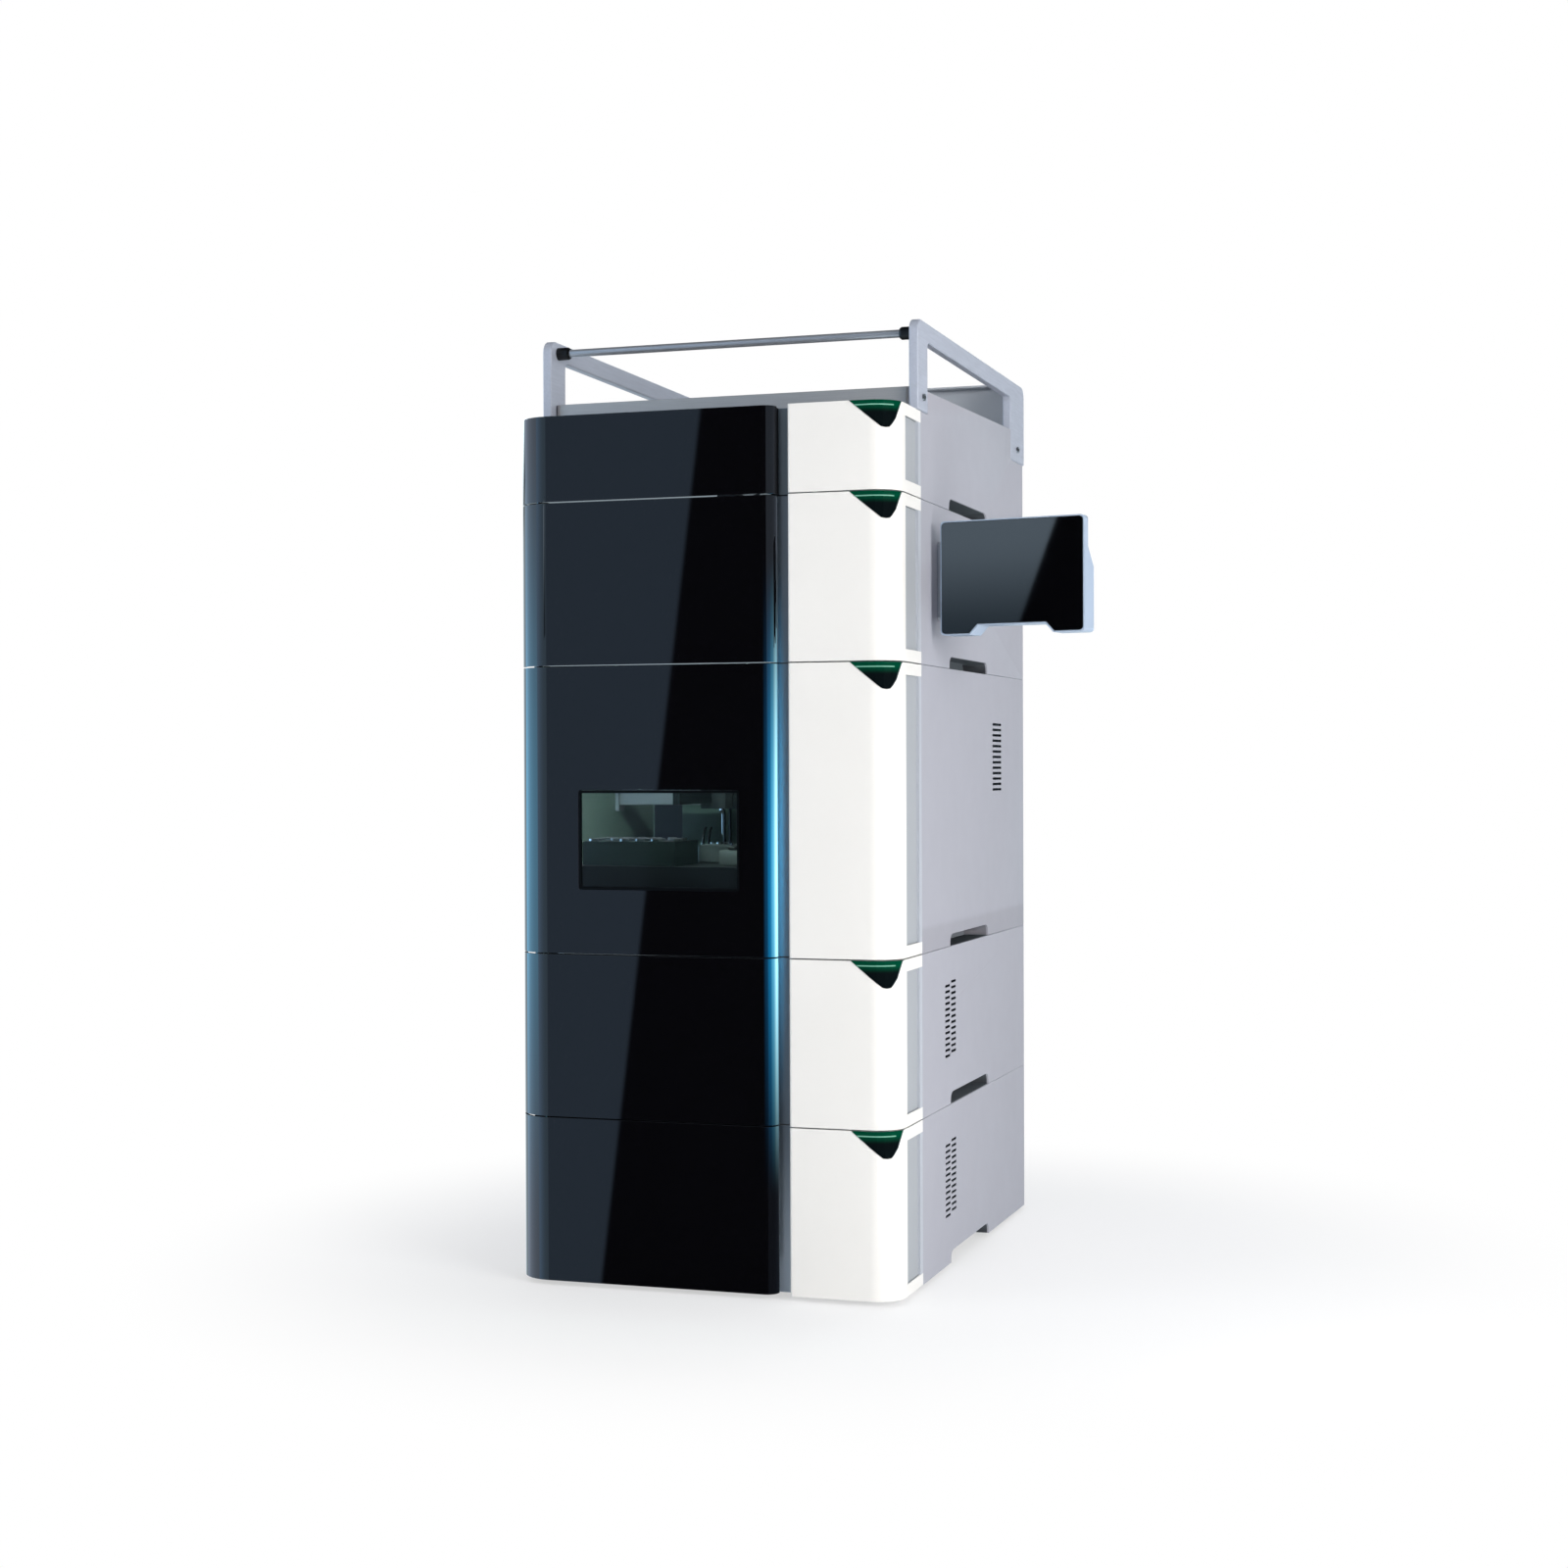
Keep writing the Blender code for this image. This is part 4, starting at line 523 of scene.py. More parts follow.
pinFinish = metal("hinge pin steel", (0.62, 0.63, 0.65, 1), 0.28, (900, 900, 40))
rearFinish = coated("rear plate paint", paint(172, 174, 180), 0.5)
for name in modules:
    finishNode(name + "_rear_panel", rearFinish)
    if name != "tray":
        finishNode(name + "_liner", linerFinish(name))
        finishNode(name + "_hinge_pin", pinFinish)

# rail frame over the top module
frameColours = {"satin": paint(184, 190, 204), "rod": (0.46, 0.49, 0.54, 1), "cap": paint(16, 18, 20),
    "plate": paint(192, 197, 204), "tray": (0.55, 0.53, 0.52, 1)}
frameFinish = metal("frame satin aluminium", frameColours["satin"], 0.42, (400, 30, 400), 0.2, 0.15)
for side in ("left", "right"):
    softened("side_frame_" + side, frameFinish, 0.0008, 0.002)
    finishNode("rod_cap_" + side, plastic("cap rubber " + side, frameColours["cap"], 0.5, 0.6))
finishNode("front_rod", metal("rod steel", frameColours["rod"], 0.30, (30, 900, 900), metallic=0.6))
softened("back_plate", coated("back plate paint", frameColours["plate"], 0.45), 0.0006)
softened("bottle_tray", metal("tray steel", frameColours["tray"], 0.42, (30, 900, 900), metallic=0.6),
    0.0006)
print("frame done")

# display
displayColours = {"shell": paint(172, 188, 208), "glass": (paint(2, 2, 3), paint(4, 4, 6)),
    "arm": paint(176, 180, 187)}
softened("display_casing", plastic("display shell", displayColours["shell"], 0.32, 0.25), 0.0006, 0.003)
softened("display_glass", mottled("display glass black", ((20,), *displayColours["glass"]),
    ((50, 3.0), 0.012, 0.015), IOR=1.5), 0.0004, 0.002)
armFinish = coated("arm paint", displayColours["arm"], 0.4)
for nodeName in ("display_arm", "display_bracket"):
    softened(nodeName, armFinish, 0.0006)
for nodeName in ("swivel_pin", "tilt_pin"):
    finishNode(nodeName, pinFinish)
print("display done")

# inside the modules
insideFinishes = {
    "sampler_window": mottled("window tint", ((15,), paint(14, 22, 24), paint(18, 27, 29)),
                                    ((40,), 0.03, 0.03), IOR=1.5, Alpha=0.22, Specular_IOR_Level=0.30),
    "sampler_deck": coated("deck paint", paint(40, 44, 50), 0.4),
    "vial_rack": plastic("rack green", paint(50, 66, 66), 0.45, 0.4),
    "injection_block": plastic("port block", paint(128, 134, 138), 0.35),
    "gantry_rail": metal("rail aluminium", (0.62, 0.66, 0.70, 1), 0.4, (30, 900, 900), metallic=0.3),
    "needle_carriage": plastic("carriage plastic", paint(52, 60, 66), 0.5),
    "needle_block": plastic("needle block plastic", paint(74, 78, 84), 0.4),
    "needle": metal("needle steel", (0.70, 0.71, 0.73, 1), 0.2, (900, 900, 30)),
    "pump_heads": metal("pump head steel", (0.60, 0.61, 0.63, 1), 0.3, (700, 700, 700)),
    "purge_knob": plastic("knob black", paint(24, 25, 28), 0.4, 0.5),
    "power_button": metal("button silver", (0.66, 0.68, 0.70, 1), 0.3, (700, 30, 700)),
    "column_heater": coated("heater paint", paint(112, 116, 122), 0.42),
    "column_tube": metal("column steel", (0.68, 0.69, 0.71, 1), 0.22, (30, 900, 900)),
    "flow_cell": metal("cell anodised", (0.16, 0.17, 0.19, 1), 0.36, (700, 30, 700)),
}
for nodeName, material in insideFinishes.items():
    finishNode(nodeName, material)
print("inside nodes done")

# window frame
bezel = {"width": 0.0030, "front": 0.0004, "back": 0.0030, "gap": 0.0003, "lap": 0.005, "soft": 0.0005}


def addWindowFrame():
    # a thin black frame set in the sampler door's opening, in front of the pane
    low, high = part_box("sampler_window")
    middle = (low + high) / 2
    lap = bezel["lap"] + bezel["gap"]
    shape = bmesh.new()
    made = bmesh.ops.create_grid(shape, x_segments=1, y_segments=1, size=0.5)["verts"]
    bmesh.ops.rotate(shape, cent=(0, 0, 0), matrix=Matrix.Rotation(pi / 2, 3, "X"), verts=made)
    bmesh.ops.scale(shape, vec=(high.x - low.x - 2 * lap, 1, high.z - low.z - 2 * lap), verts=made)
    bmesh.ops.translate(shape, vec=(middle.x, frontY + bezel["front"], middle.z), verts=made)
    bmesh.ops.inset_region(shape, faces=shape.faces[:], thickness=bezel["width"], use_even_offset=True,
        use_boundary=True)
    centre = min(shape.faces, key=lambda face: (face.calc_center_median() - middle).xz.length)
    bmesh.ops.delete(shape, geom=[centre], context="FACES")
    extrude(shape, shape.faces[:], (0, bezel["back"] - bezel["front"], 0))
    rims = [edge for edge in shape.edges if len(edge.link_faces) == 2 and edge.calc_face_angle() > 1]
    bevel(shape, rims, bezel["soft"])
    black = plastic("window frame black", paint(4, 5, 7), 0.6, 0.3, Specular_IOR_Level=0.1)
    newPiece("window_frame", shape, black, "sampler_door")


addWindowFrame()

# vials in the rack
vial = {"radius": 0.0055, "low": 0.0940, "shoulder": 0.1120, "cap": 0.1165, "columns": 6, "rows": 4,
    "pitch": 0.018, "left": -0.180, "front": 0.120, "empty": {(1, 0), (4, 2), (5, 0), (5, 3)}}


def addVials():
    # a crimped vial in every hole but a few; the caps stay under the needle's tip
    glass, caps, septa = bmesh.new(), bmesh.new(), bmesh.new()
    r, pitch = vial["radius"], vial["pitch"]
    shoulder, high = vial["shoulder"] - vial["low"], vial["cap"] - vial["low"]
    holes = {(column, row) for column in range(vial["columns"]) for row in range(vial["rows"])}
    for column, row in sorted(holes - vial["empty"]):
        start = (vial["left"] + (column + 0.5) * pitch, vial["front"] + (row + 0.5) * pitch,
            base["sampler"] + vial["low"])
        addTurned(glass, [(0, 0), (r - 0.0006, 0), (r, 0.0006), (r, shoulder - 0.0014), (r - 0.0014, shoulder)],
            start, toTop, 14)
        addTurned(caps, [(r - 0.0012, shoulder - 0.0008), (r - 0.0004, shoulder), (r - 0.0003, high - 0.0004),
            (r - 0.0008, high), (0.0022, high)], start, toTop, 14)
        addTurned(septa, [(0.0023, high - 0.0001), (0, high - 0.0003)], start, toTop, 10)
    clear = mottled("vial glass", ((90,), (0.92, 0.97, 0.95, 1), (0.86, 0.93, 0.91, 1)),
        ((60,), 0.03, 0.04), Transmission_Weight=1.0, IOR=1.47)
    newPiece("vial_glass", glass, clear)
    newPiece("vial_caps", caps, metal("cap aluminium", (0.70, 0.72, 0.74, 1), 0.3, (900, 900, 60)),
        sharp=40)
    newPiece("vial_septa", septa, plastic("septum", paint(176, 92, 66), 0.6))


addVials()

# autosampler: heights are measured from the module's own foot
peekTan = paint(186, 158, 116)
port = {"x": -0.055, "y": 0.225, "top": 0.1078, "screwX": 0.0175, "screwY": 0.0155, "nutX": 0.0222,
    "nutHeight": 0.098,
    "ring": [(0.0050, 0.0002), (0.0068, 0.0002), (0.0072, 0.0006), (0.0072, 0.0022), (0.0066, 0.0027),
        (0.0050, 0.0027)],
    "screw": [(0.0011, 0.0006), (0.0011, 0.0018), (0.0019, 0.0020), (0.0022, 0.0017), (0.0022, 0)],
    "nut": [(0.0034, 0), (0.0038, 0.0004), (0.0038, 0.0080), (0.0026, 0.0100), (0.0012, 0.0104)],
    "capillary": [(-0.024, 0.225, 0.098), (-0.003, 0.225, 0.098), (0.023, 0.235, 0.100),
        (0.060, 0.262, 0.104), (0.0665, 0.300, 0.120), (0.0665, 0.330, 0.160),
        (0.0665, 0.340, 0.215), (0.0665, 0.345, 0.262)]}
wash = {"block": [(-0.0300, 0.1420, 0.0877), (-0.0040, 0.1840, 0.1040)],
    "rearBlock": [(0.0440, 0.3010, 0.0877), (0.0640, 0.3210, 0.1450)],
    "x": -0.017, "y": (0.1530, 0.1730), "top": 0.1040,
    "well": [(0, 0.0001), (0.0044, 0.0001), (0.0058, 0.0006), (0.0062, 0.0022), (0.0056, 0.0030),
        (0.0046, 0.0030), (0.0044, 0.0012), (0, 0.0008)]}
uprights = {"tubes": ((-0.0835, 0.235), (-0.0765, 0.235), (-0.1100, 0.118), (-0.1030, 0.118)), "y": 0.3120,
    "radius": 0.0016, "foot": 0.0877,
    "socket": [(0.0018, 0.0080), (0.0030, 0.0080), (0.0034, 0.0070), (0.0034, 0.0006),
        (0.0044, 0.0002), (0.0044, 0)],
    "plate": [(-0.1500, 0.3500, 0.0877), (-0.0450, 0.3530, 0.2300)]}
lampStrip = {"low": (-0.150, 0.060, -0.0100), "high": (0.050, 0.068, -0.0060), "strength": 70.0}


def addSamplerParts():
    b = base["sampler"]
    # nut round the needle's port, four socket screws and the outlet fitting
    shape = bmesh.new()
    z = b + port["top"]
    addTurned(shape, port["ring"], (port["x"], port["y"], z), toTop, 28)
    for side in (-1, 1):
        for end in (-1, 1):
            place = (port["x"] + side * port["screwX"], port["y"] + end * port["screwY"], z + 0.0001)
            addScrew(shape, port["screw"], place, toTop, 14)
    newPiece("port_fittings", shape, metal("port steel", (0.68, 0.69, 0.71, 1), 0.26, (800, 800, 800)))
    shape = bmesh.new()
    addNut(shape, port["nut"], (port["x"] + port["nutX"], port["y"], b + port["nutHeight"]), toRight)
    newPiece("port_nut", shape, plastic("peek tan", peekTan, 0.4))
    shape = bmesh.new()
    addTube(shape, raised(b, port["capillary"]))
    newPiece("port_capillary", shape,
        metal("capillary steel", (0.66, 0.67, 0.69, 1), 0.24, (500, 500, 500)), sharp=80)
    # wash block with two wells beside the rack, and a taller block behind it
    shape = bmesh.new()
    addBlock(shape, *raised(b, wash["block"]), 0.0010)
    addBlock(shape, *raised(b, wash["rearBlock"]), 0.0010)
    newPiece("wash_block", shape, plastic("wash block grey", paint(150, 158, 160), 0.4))
    shape = bmesh.new()
    for y in wash["y"]:
        addTurned(shape, wash["well"], (wash["x"], y, b + wash["top"]), toTop, 20)
    newPiece("wash_wells", shape, plastic("wash well black", paint(22, 26, 28), 0.35))
    # dark tubes in sockets behind the rail, in front of a pale service plate
    tubes, sockets = bmesh.new(), bmesh.new()
    y = uprights["y"]
    for x, z in uprights["tubes"]:
        addTube(tubes, raised(b, [(x, y, 0.0879), (x, y, 0.100), (x, y, 0.108), (x, y, z - 0.008),
            (x, y + 0.002, z), (x, y + 0.010, z + 0.006)]), uprights["radius"])
        addTurned(sockets, uprights["socket"], (x, y, b + uprights["foot"]), toTop, 16)
    newPiece("upright_tubes", tubes, plastic("tube black", paint(20, 24, 26), 0.35),
        sharp=80)
    newPiece("tube_sockets", sockets, plastic("socket black", paint(26, 29, 31), 0.4))
    shape = bmesh.new()
    addBlock(shape, *raised(b, uprights["plate"]), 0.0008)
    newPiece("service_plate", shape, plastic("service plate green", paint(126, 148, 138), 0.45))
    # lamp under the compartment's roof
    shape = bmesh.new()
    addBlock(shape, *raised(top["sampler"], (lampStrip["low"], lampStrip["high"])), 0.0008)
    glow = mottled("lamp strip", ((400,), (0.85, 0.90, 0.88, 1), (0.75, 0.82, 0.80, 1)),
        ((300,), 0.4, 0.1), ((200, 1.0), (0.72, 1.0, 0.90, 1), (0.66, 0.95, 0.85, 1)),
        Emission_Strength=lampStrip["strength"])
    newPiece("lamp_strip", shape, glow)


addSamplerParts()
print("autosampler done")

# pump: bolts, valves, capillaries and tubes, measured up from the heads' middle
pumpHead = {"x": (-0.131, -0.069), "y": 0.1897, "z": 0.090, "radius": 0.021, "boltCircle": 0.0150,
    "valveBack": 0.022,
    "bolt": [(0.0014, 0.0010), (0.0014, 0.0030), (0.0023, 0.0032), (0.0027, 0.0028), (0.0027, 0)],
    "valve": [(0.0070, 0), (0.0076, 0.0006), (0.0076, 0.0070), (0.0068, 0.0078)],
    "nut": [(0.0044, 0), (0.0046, 0.0004), (0.0046, 0.0052), (0.0030, 0.0070), (0.0010, 0.0074)],
    "bridge": [(-0.131, 0.2117, 0.036), (-0.131, 0.2117, 0.044), (-0.118, 0.2117, 0.049),
        (-0.090, 0.2117, 0.049), (-0.069, 0.2117, 0.049), (-0.069, 0.2117, 0.042),
        (-0.069, 0.2117, 0.036)],
    "outlet": [(-0.069, 0.2117, 0.036), (-0.069, 0.2057, 0.042), (-0.044, 0.2037, 0.046),
        (-0.010, 0.2077, 0.032), (0.010, 0.2210, 0.024), (0.010, 0.2240, 0.012)]}


def addPumpParts():
    bolts, valves, nuts, capillaries, inlets = (bmesh.new() for kind in range(5))
    y, z = pumpHead["y"], pumpHead["z"]
    valveY = y + pumpHead["valveBack"]
    for x in pumpHead["x"]:
        for turn in range(4):
            angle = radians(45 + 90 * turn)
            place = (x + pumpHead["boltCircle"] * cos(angle), y - 0.0001,
                z + pumpHead["boltCircle"] * sin(angle))
            addScrew(bolts, pumpHead["bolt"], place, toFront)
        for side in (-1, 1):
            # inlet valve below and outlet valve above, each a hexagon with a nut
            start = (x, valveY, z + side * (pumpHead["radius"] + 0.0001))
            addNut(valves, pumpHead["valve"], start, (0, 0, side))
            start = (x, valveY, z + side * (pumpHead["radius"] + 0.0080))
            addNut(nuts, pumpHead["nut"], start, (0, 0, side), 12)
    newPiece("head_bolts", bolts, metal("bolt steel", (0.62, 0.63, 0.65, 1), 0.28, (800, 800, 800)))
    newPiece("check_valves", valves, metal("valve steel", (0.66, 0.67, 0.69, 1), 0.2, (600, 600, 60)))
    newPiece("valve_nuts", nuts, plastic("valve nut", paint(38, 40, 44), 0.4))
    for route in ("bridge", "outlet"):
        addTube(capillaries, raised(z, pumpHead[route]))
    newPiece("pump_capillaries", capillaries,
        metal("capillary polish", (0.68, 0.69, 0.71, 1), 0.2, (400, 400, 400)), sharp=80)
    for x, bend in zip(pumpHead["x"], (-0.020, 0.020)):
        addTube(inlets, raised(z, [(x, 0.2117, -0.036), (x, 0.2117, -0.044), (x + bend, 0.2077, -0.054),
            (x + 2.2 * bend, 0.2157, -0.058), (x + 2.6 * bend, 0.240, -0.056)]), 0.0016)
    clear = mottled("clear tubing", ((80,), (0.86, 0.88, 0.88, 1), (0.78, 0.81, 0.82, 1)),
        ((50,), 0.2, 0.1), Transmission_Weight=0.6, IOR=1.35)
    newPiece("solvent_tubes", inlets, clear, sharp=80)


addPumpParts()

# column and flow cell plumbing, measured up from their middles
column = {"y": 0.2027, "level": 0.090, "clips": (-0.120, -0.020), "nuts": ((-0.1512, -1), (0.0112, 1)),
    "clip": [(0.0060, -0.0035), (0.0072, -0.0035), (0.0074, -0.0030), (0.0074, 0.0030),
        (0.0072, 0.0035), (0.0060, 0.0035)],
    "nut": [(0.0036, 0), (0.0040, 0.0004), (0.0040, 0.0060), (0.0026, 0.0085), (0.0010, 0.0090)],
    "inlet": [(-0.160, 0.2027, 0), (-0.168, 0.2027, 0), (-0.184, 0.198, -0.004), (-0.190, 0.190, -0.026),
        (-0.186, 0.196, -0.050), (-0.172, 0.215, -0.058), (-0.168, 0.244, -0.058)],
    "outlet": [(0.020, 0.2027, 0), (0.028, 0.2027, 0), (0.042, 0.198, 0.004), (0.050, 0.190, 0.026),
        (0.046, 0.196, 0.050), (0.036, 0.215, 0.058), (0.032, 0.244, 0.058)]}
cell = {"y": 0.1976, "level": 0.088, "rise": 0.010, "ends": ((-0.086, -0.030), (-0.034, 0.030)),
    "nut": [(0.0044, 0), (0.0048, 0.0004), (0.0048, 0.0070), (0.0030, 0.0090), (0.0010, 0.0094)]}


def addColumnParts():
    clips, nuts, cellNuts, tubes = (bmesh.new() for kind in range(4))
    y, z = column["y"], base["column"] + column["level"]
    for x in column["clips"]:
        # spring clips that hold the column on the heater
        addTurned(clips, column["clip"], (x, y, z), toRight, 28)
    for x, side in column["nuts"]:
        addNut(nuts, column["nut"], (x, y, z), (side, 0, 0))
    for route in ("inlet", "outlet"):
        addTube(tubes, raised(z, column[route]))
    newPiece("column_clips", clips, metal("clip steel", (0.60, 0.61, 0.63, 1), 0.3, (600, 600, 600)))
    newPiece("column_nuts", nuts, plastic("column nut", peekTan, 0.4))
    z = base["detector"] + cell["level"]
    for x, bend in cell["ends"]:
        addTube(tubes, raised(z, [(x, 0.1975, 0.010), (x, 0.188, 0.010), (x + bend * 0.5, 0.180, -0.002),
            (x + bend, 0.186, -0.024), (x + bend * 1.3, 0.205, -0.036),
            (x + bend * 1.4, 0.244, -0.038)]))
        addNut(cellNuts, cell["nut"], (x, cell["y"], z + cell["rise"]), toFront)
    newPiece("module_capillaries", tubes,
        metal("module capillary steel", (0.68, 0.69, 0.71, 1), 0.2, (400, 400, 400)), sharp=80)
    newPiece("cell_nuts", cellNuts, plastic("cell nut", paint(30, 70, 120), 0.4))


addColumnParts()
print("plumbing done")

# ribs inside the doors
rib = {"back": 0.0068, "front": 0.0031, "width": 0.0016, "left": -0.150, "right": 0.062, "margin": 0.018,
    "count": 4, "windowGap": 0.008, "gap": 0.0002, "soft": 0.0003}
magnet = {"left": 0.0655, "right": 0.0735, "back": 0.0050, "half": 0.008, "margin": 0.012}


def addDoorRibs(name):
    # stiffening ribs on the door's back, and two magnet plates by its free edge
    low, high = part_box(name + "_door")
    low, high = low.z + rib["margin"], high.z - rib["margin"]
    shape = bmesh.new()
    y0, y1, w, left, right = (rib[key] for key in ("front", "back", "width", "left", "right"))
    bands = [(low, high)]
    if name == "sampler":
        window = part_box("sampler_window")
        bands = [(low, window[0].z - rib["windowGap"]), (window[1].z + rib["windowGap"], high)]
    for z0, z1 in bands:
        for z in (z0, z1 - w):
            addBlock(shape, (left, y0, z), (right, y1, z + w), rib["soft"], 1)
        for i in range(rib["count"]):
            x = left + (right - left - w) * i / (rib["count"] - 1)
            addBlock(shape, (x, y0, z0 + w + rib["gap"]), (x + w, y1, z1 - w - rib["gap"]), rib["soft"], 1)
    newPiece(name + "_door_ribs", shape, plastic(name + " rib black", paint(34, 36, 40), 0.5),
        name + "_door")
    shape = bmesh.new()
    for z in (low + magnet["margin"], high - magnet["margin"]):
        addBlock(shape, (magnet["left"], y0, z - magnet["half"]),
            (magnet["right"], magnet["back"], z + magnet["half"]))
    newPiece(name + "_door_magnets", shape,
        metal(name + " magnet plate", (0.55, 0.56, 0.58, 1), 0.3, (40, 900, 900)),
        body=name + "_door")


for name in modules[:4]:
    addDoorRibs(name)
print("ribs done")

# back of the modules
fan = {"x": -0.1254, "radius": 0.036, "hub": 0.014, "hubFront": 0.5640, "middle": 0.5730, "ringFront": 0.5630,
    "ringLength": 0.0235, "blades": 7, "blade": 0.0008}


def addFan(name):
    # hub and swept blades just inside the grille
    low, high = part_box(name + "_rear_panel")
    z = (low.z + high.z) / 2
    hub, radius = fan["hub"], fan["radius"]
    shape = bmesh.new()
    addTurned(shape, [(0, 0.0180), (0.010, 0.0180), (hub - 0.001, 0.0172), (hub, 0.0160), (hub, 0), (0, 0)],
        (fan["x"], fan["hubFront"], z), toBack, 28)
    for blade in range(fan["blades"]):
        made = bmesh.ops.create_grid(shape, x_segments=4, y_segments=3, size=0.5)["verts"]
        for vert in made:
            # twisted from steep at the hub to flatter at the tip
            share = vert.co.x + 0.5
            out = hub - 0.001 + share * (radius - hub + 0.001)
            width = 0.011 + 0.006 * share
            pitch = radians(52 - 20 * share)
            around = vert.co.y * width * cos(pitch) / out
            along = vert.co.y * width * sin(pitch)
            vert.co = (out * cos(around), along, out * sin(around))
        bmesh.ops.rotate(shape, cent=(0, 0, 0), verts=made,
            matrix=Matrix.Rotation(tau * blade / fan["blades"], 3, "Y"))
        bmesh.ops.translate(shape, vec=at(fan["x"], fan["middle"], z), verts=made)
    piece = newPiece(name + "_fan", shape, plastic(name + " fan black", paint(22, 23, 26), 0.45))
    thick = piece.modifiers.new("blade thickness", "SOLIDIFY")
    thick.thickness = fan["blade"]
    thick.offset = 0
    shape = bmesh.new()
    inner, outer, end = radius + 0.0010, radius + 0.0030, fan["ringLength"]
    addTurned(shape, [(inner, 0), (outer, 0), (outer, end), (inner, end), (inner, 0)],
        (fan["x"], fan["ringFront"], z), toBack, 40)
    newPiece(name + "_fan_ring", shape, plastic(name + " fan ring", paint(30, 31, 34), 0.5))


rear = {"back": 0.5900, "screwX": 0.184, "screwEnds": 0.006, "fanScrews": 0.0405,
    "screw": [(0.0010, 0.0004), (0.0012, 0.0011), (0.0022, 0.0010), (0.0029, 0.0006), (0.0032, 0)],
    "inletX": 0.1452, "portRise": 0.0217, "blades": ((-0.0070, -0.0012), (0.0070, -0.0012), (0.0, 0.0022)),
    "sockets": (0.0690, 0.0840),
    "walls": ((0, 0.0135, -0.0058, -0.0043), (0, 0.0135, 0.0043, 0.0058), (0, 0.0012, -0.0041, 0.0041),
        (0.0123, 0.0135, -0.0041, 0.0041))}


def addRearFittings(name):
    low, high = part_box(name + "_rear_panel")
    z0, z1 = low.z, high.z
    middle = (z0 + z1) / 2
    portZ = z0 + rear["portRise"]
    side, ends = rear["screwX"], rear["screwEnds"]
    # screws round the plate
    shape = bmesh.new()
    if name == "tray":
        spots = [(-side, middle), (side, middle), (0.0, middle)]
    else:
        spots = [(x, z) for z in (z0 + ends, z1 - ends) for x in (-side, side, 0.0)]
        r = rear["fanScrews"]
        spots += [(fan["x"] + sx * r, middle + sz * r) for sx in (-1, 1) for sz in (-1, 1)]
    for x, z in spots:
        addScrew(shape, rear["screw"], (x, rear["back"], z), toBack)
    newPiece(name + "_rear_screws", shape,
        metal(name + " screw zinc", (0.60, 0.61, 0.62, 1), 0.32, (700, 700, 700)))
    # three blades of the mains inlet
    shape = bmesh.new()
    for dx, dz in rear["blades"]:
        x, z = rear["inletX"] + dx, (middle if name == "tray" else portZ) + dz
        addBlock(shape, (x - 0.0010, 0.5750, z - 0.0018), (x + 0.0010, 0.5872, z + 0.0018), 0.0003, 1)
    newPiece(name + "_inlet_blades", shape,
        metal(name + " inlet brass", (0.72, 0.62, 0.40, 1), 0.28, (500, 60, 500)))
    if name == "tray":
        return
    # two network sockets and a bus socket behind the port opening
    shape = bmesh.new()
    for x in rear["sockets"]:
        for left, right, below, above in rear["walls"]:
            addBlock(shape, (x + left, 0.5800, portZ + below), (x + right, 0.5880, portZ + above), 0.0003, 1)
        addBlock(shape, (x + 0.0014, 0.5790, portZ - 0.0041), (x + 0.0121, 0.5800, portZ + 0.0041), 0.0002, 1)
    addBlock(shape, (0.0990, 0.5800, portZ - 0.0050), (0.1106, 0.5870, portZ + 0.0050), 0.0006)
    newPiece(name + "_data_sockets", shape,
        metal(name + " socket shell", (0.62, 0.63, 0.64, 1), 0.3, (700, 60, 700)))


for name in modules:
    if name != "tray":
        addFan(name)
    addRearFittings(name)
print("backs done")

# frame bolts
bolt = {"y": (0.105, 0.549), "z": 0.925,
    "head": [(0.0016, 0.0008), (0.0016, 0.0022), (0.0032, 0.0024), (0.0038, 0.0018), (0.0040, 0)]}
shape = bmesh.new()
for side in (-1, 1):
    for y in bolt["y"]:
        addScrew(shape, bolt["head"], (side * halfWidth, y, bolt["z"]), (side, 0, 0), 18)
newPiece("frame_bolts", shape, metal("frame bolt steel", (0.58, 0.60, 0.62, 1), 0.28, (700, 700, 700)))

# display's back
pad = {"x": 0.3005, "y": 0.1135, "z": 0.7385, "turn": radians(10), "thick": 0.0280, "thin": 0.0120,
    "slotX": 0.036, "slotZ": 0.0345, "slotPitch": 0.0052, "screwX": 0.073, "screwZ": (0.000, -0.050),
    "screw": [(0.0010, 0.0004), (0.0012, 0.0011), (0.0020, 0.0010), (0.0026, 0.0006), (0.0029, 0)]}


def onDisplay(across, behind, up):
    # a place measured on the display from the middle of its glass, as a place on the tower
    x = pad["x"] + across * cos(pad["turn"]) + behind * sin(pad["turn"])
    y = pad["y"] - across * sin(pad["turn"]) + behind * cos(pad["turn"])
    return x, y, pad["z"] + up


def addPlate(shape, across, up, width, height, behind, proud, soft):
    # a thin plate laid on the display's back
    addCuboid(shape, (width, proud, height), at(*onDisplay(across, behind + proud / 2, up)), soft, 1,
        Matrix.Rotation(-pad["turn"], 3, "Z"))


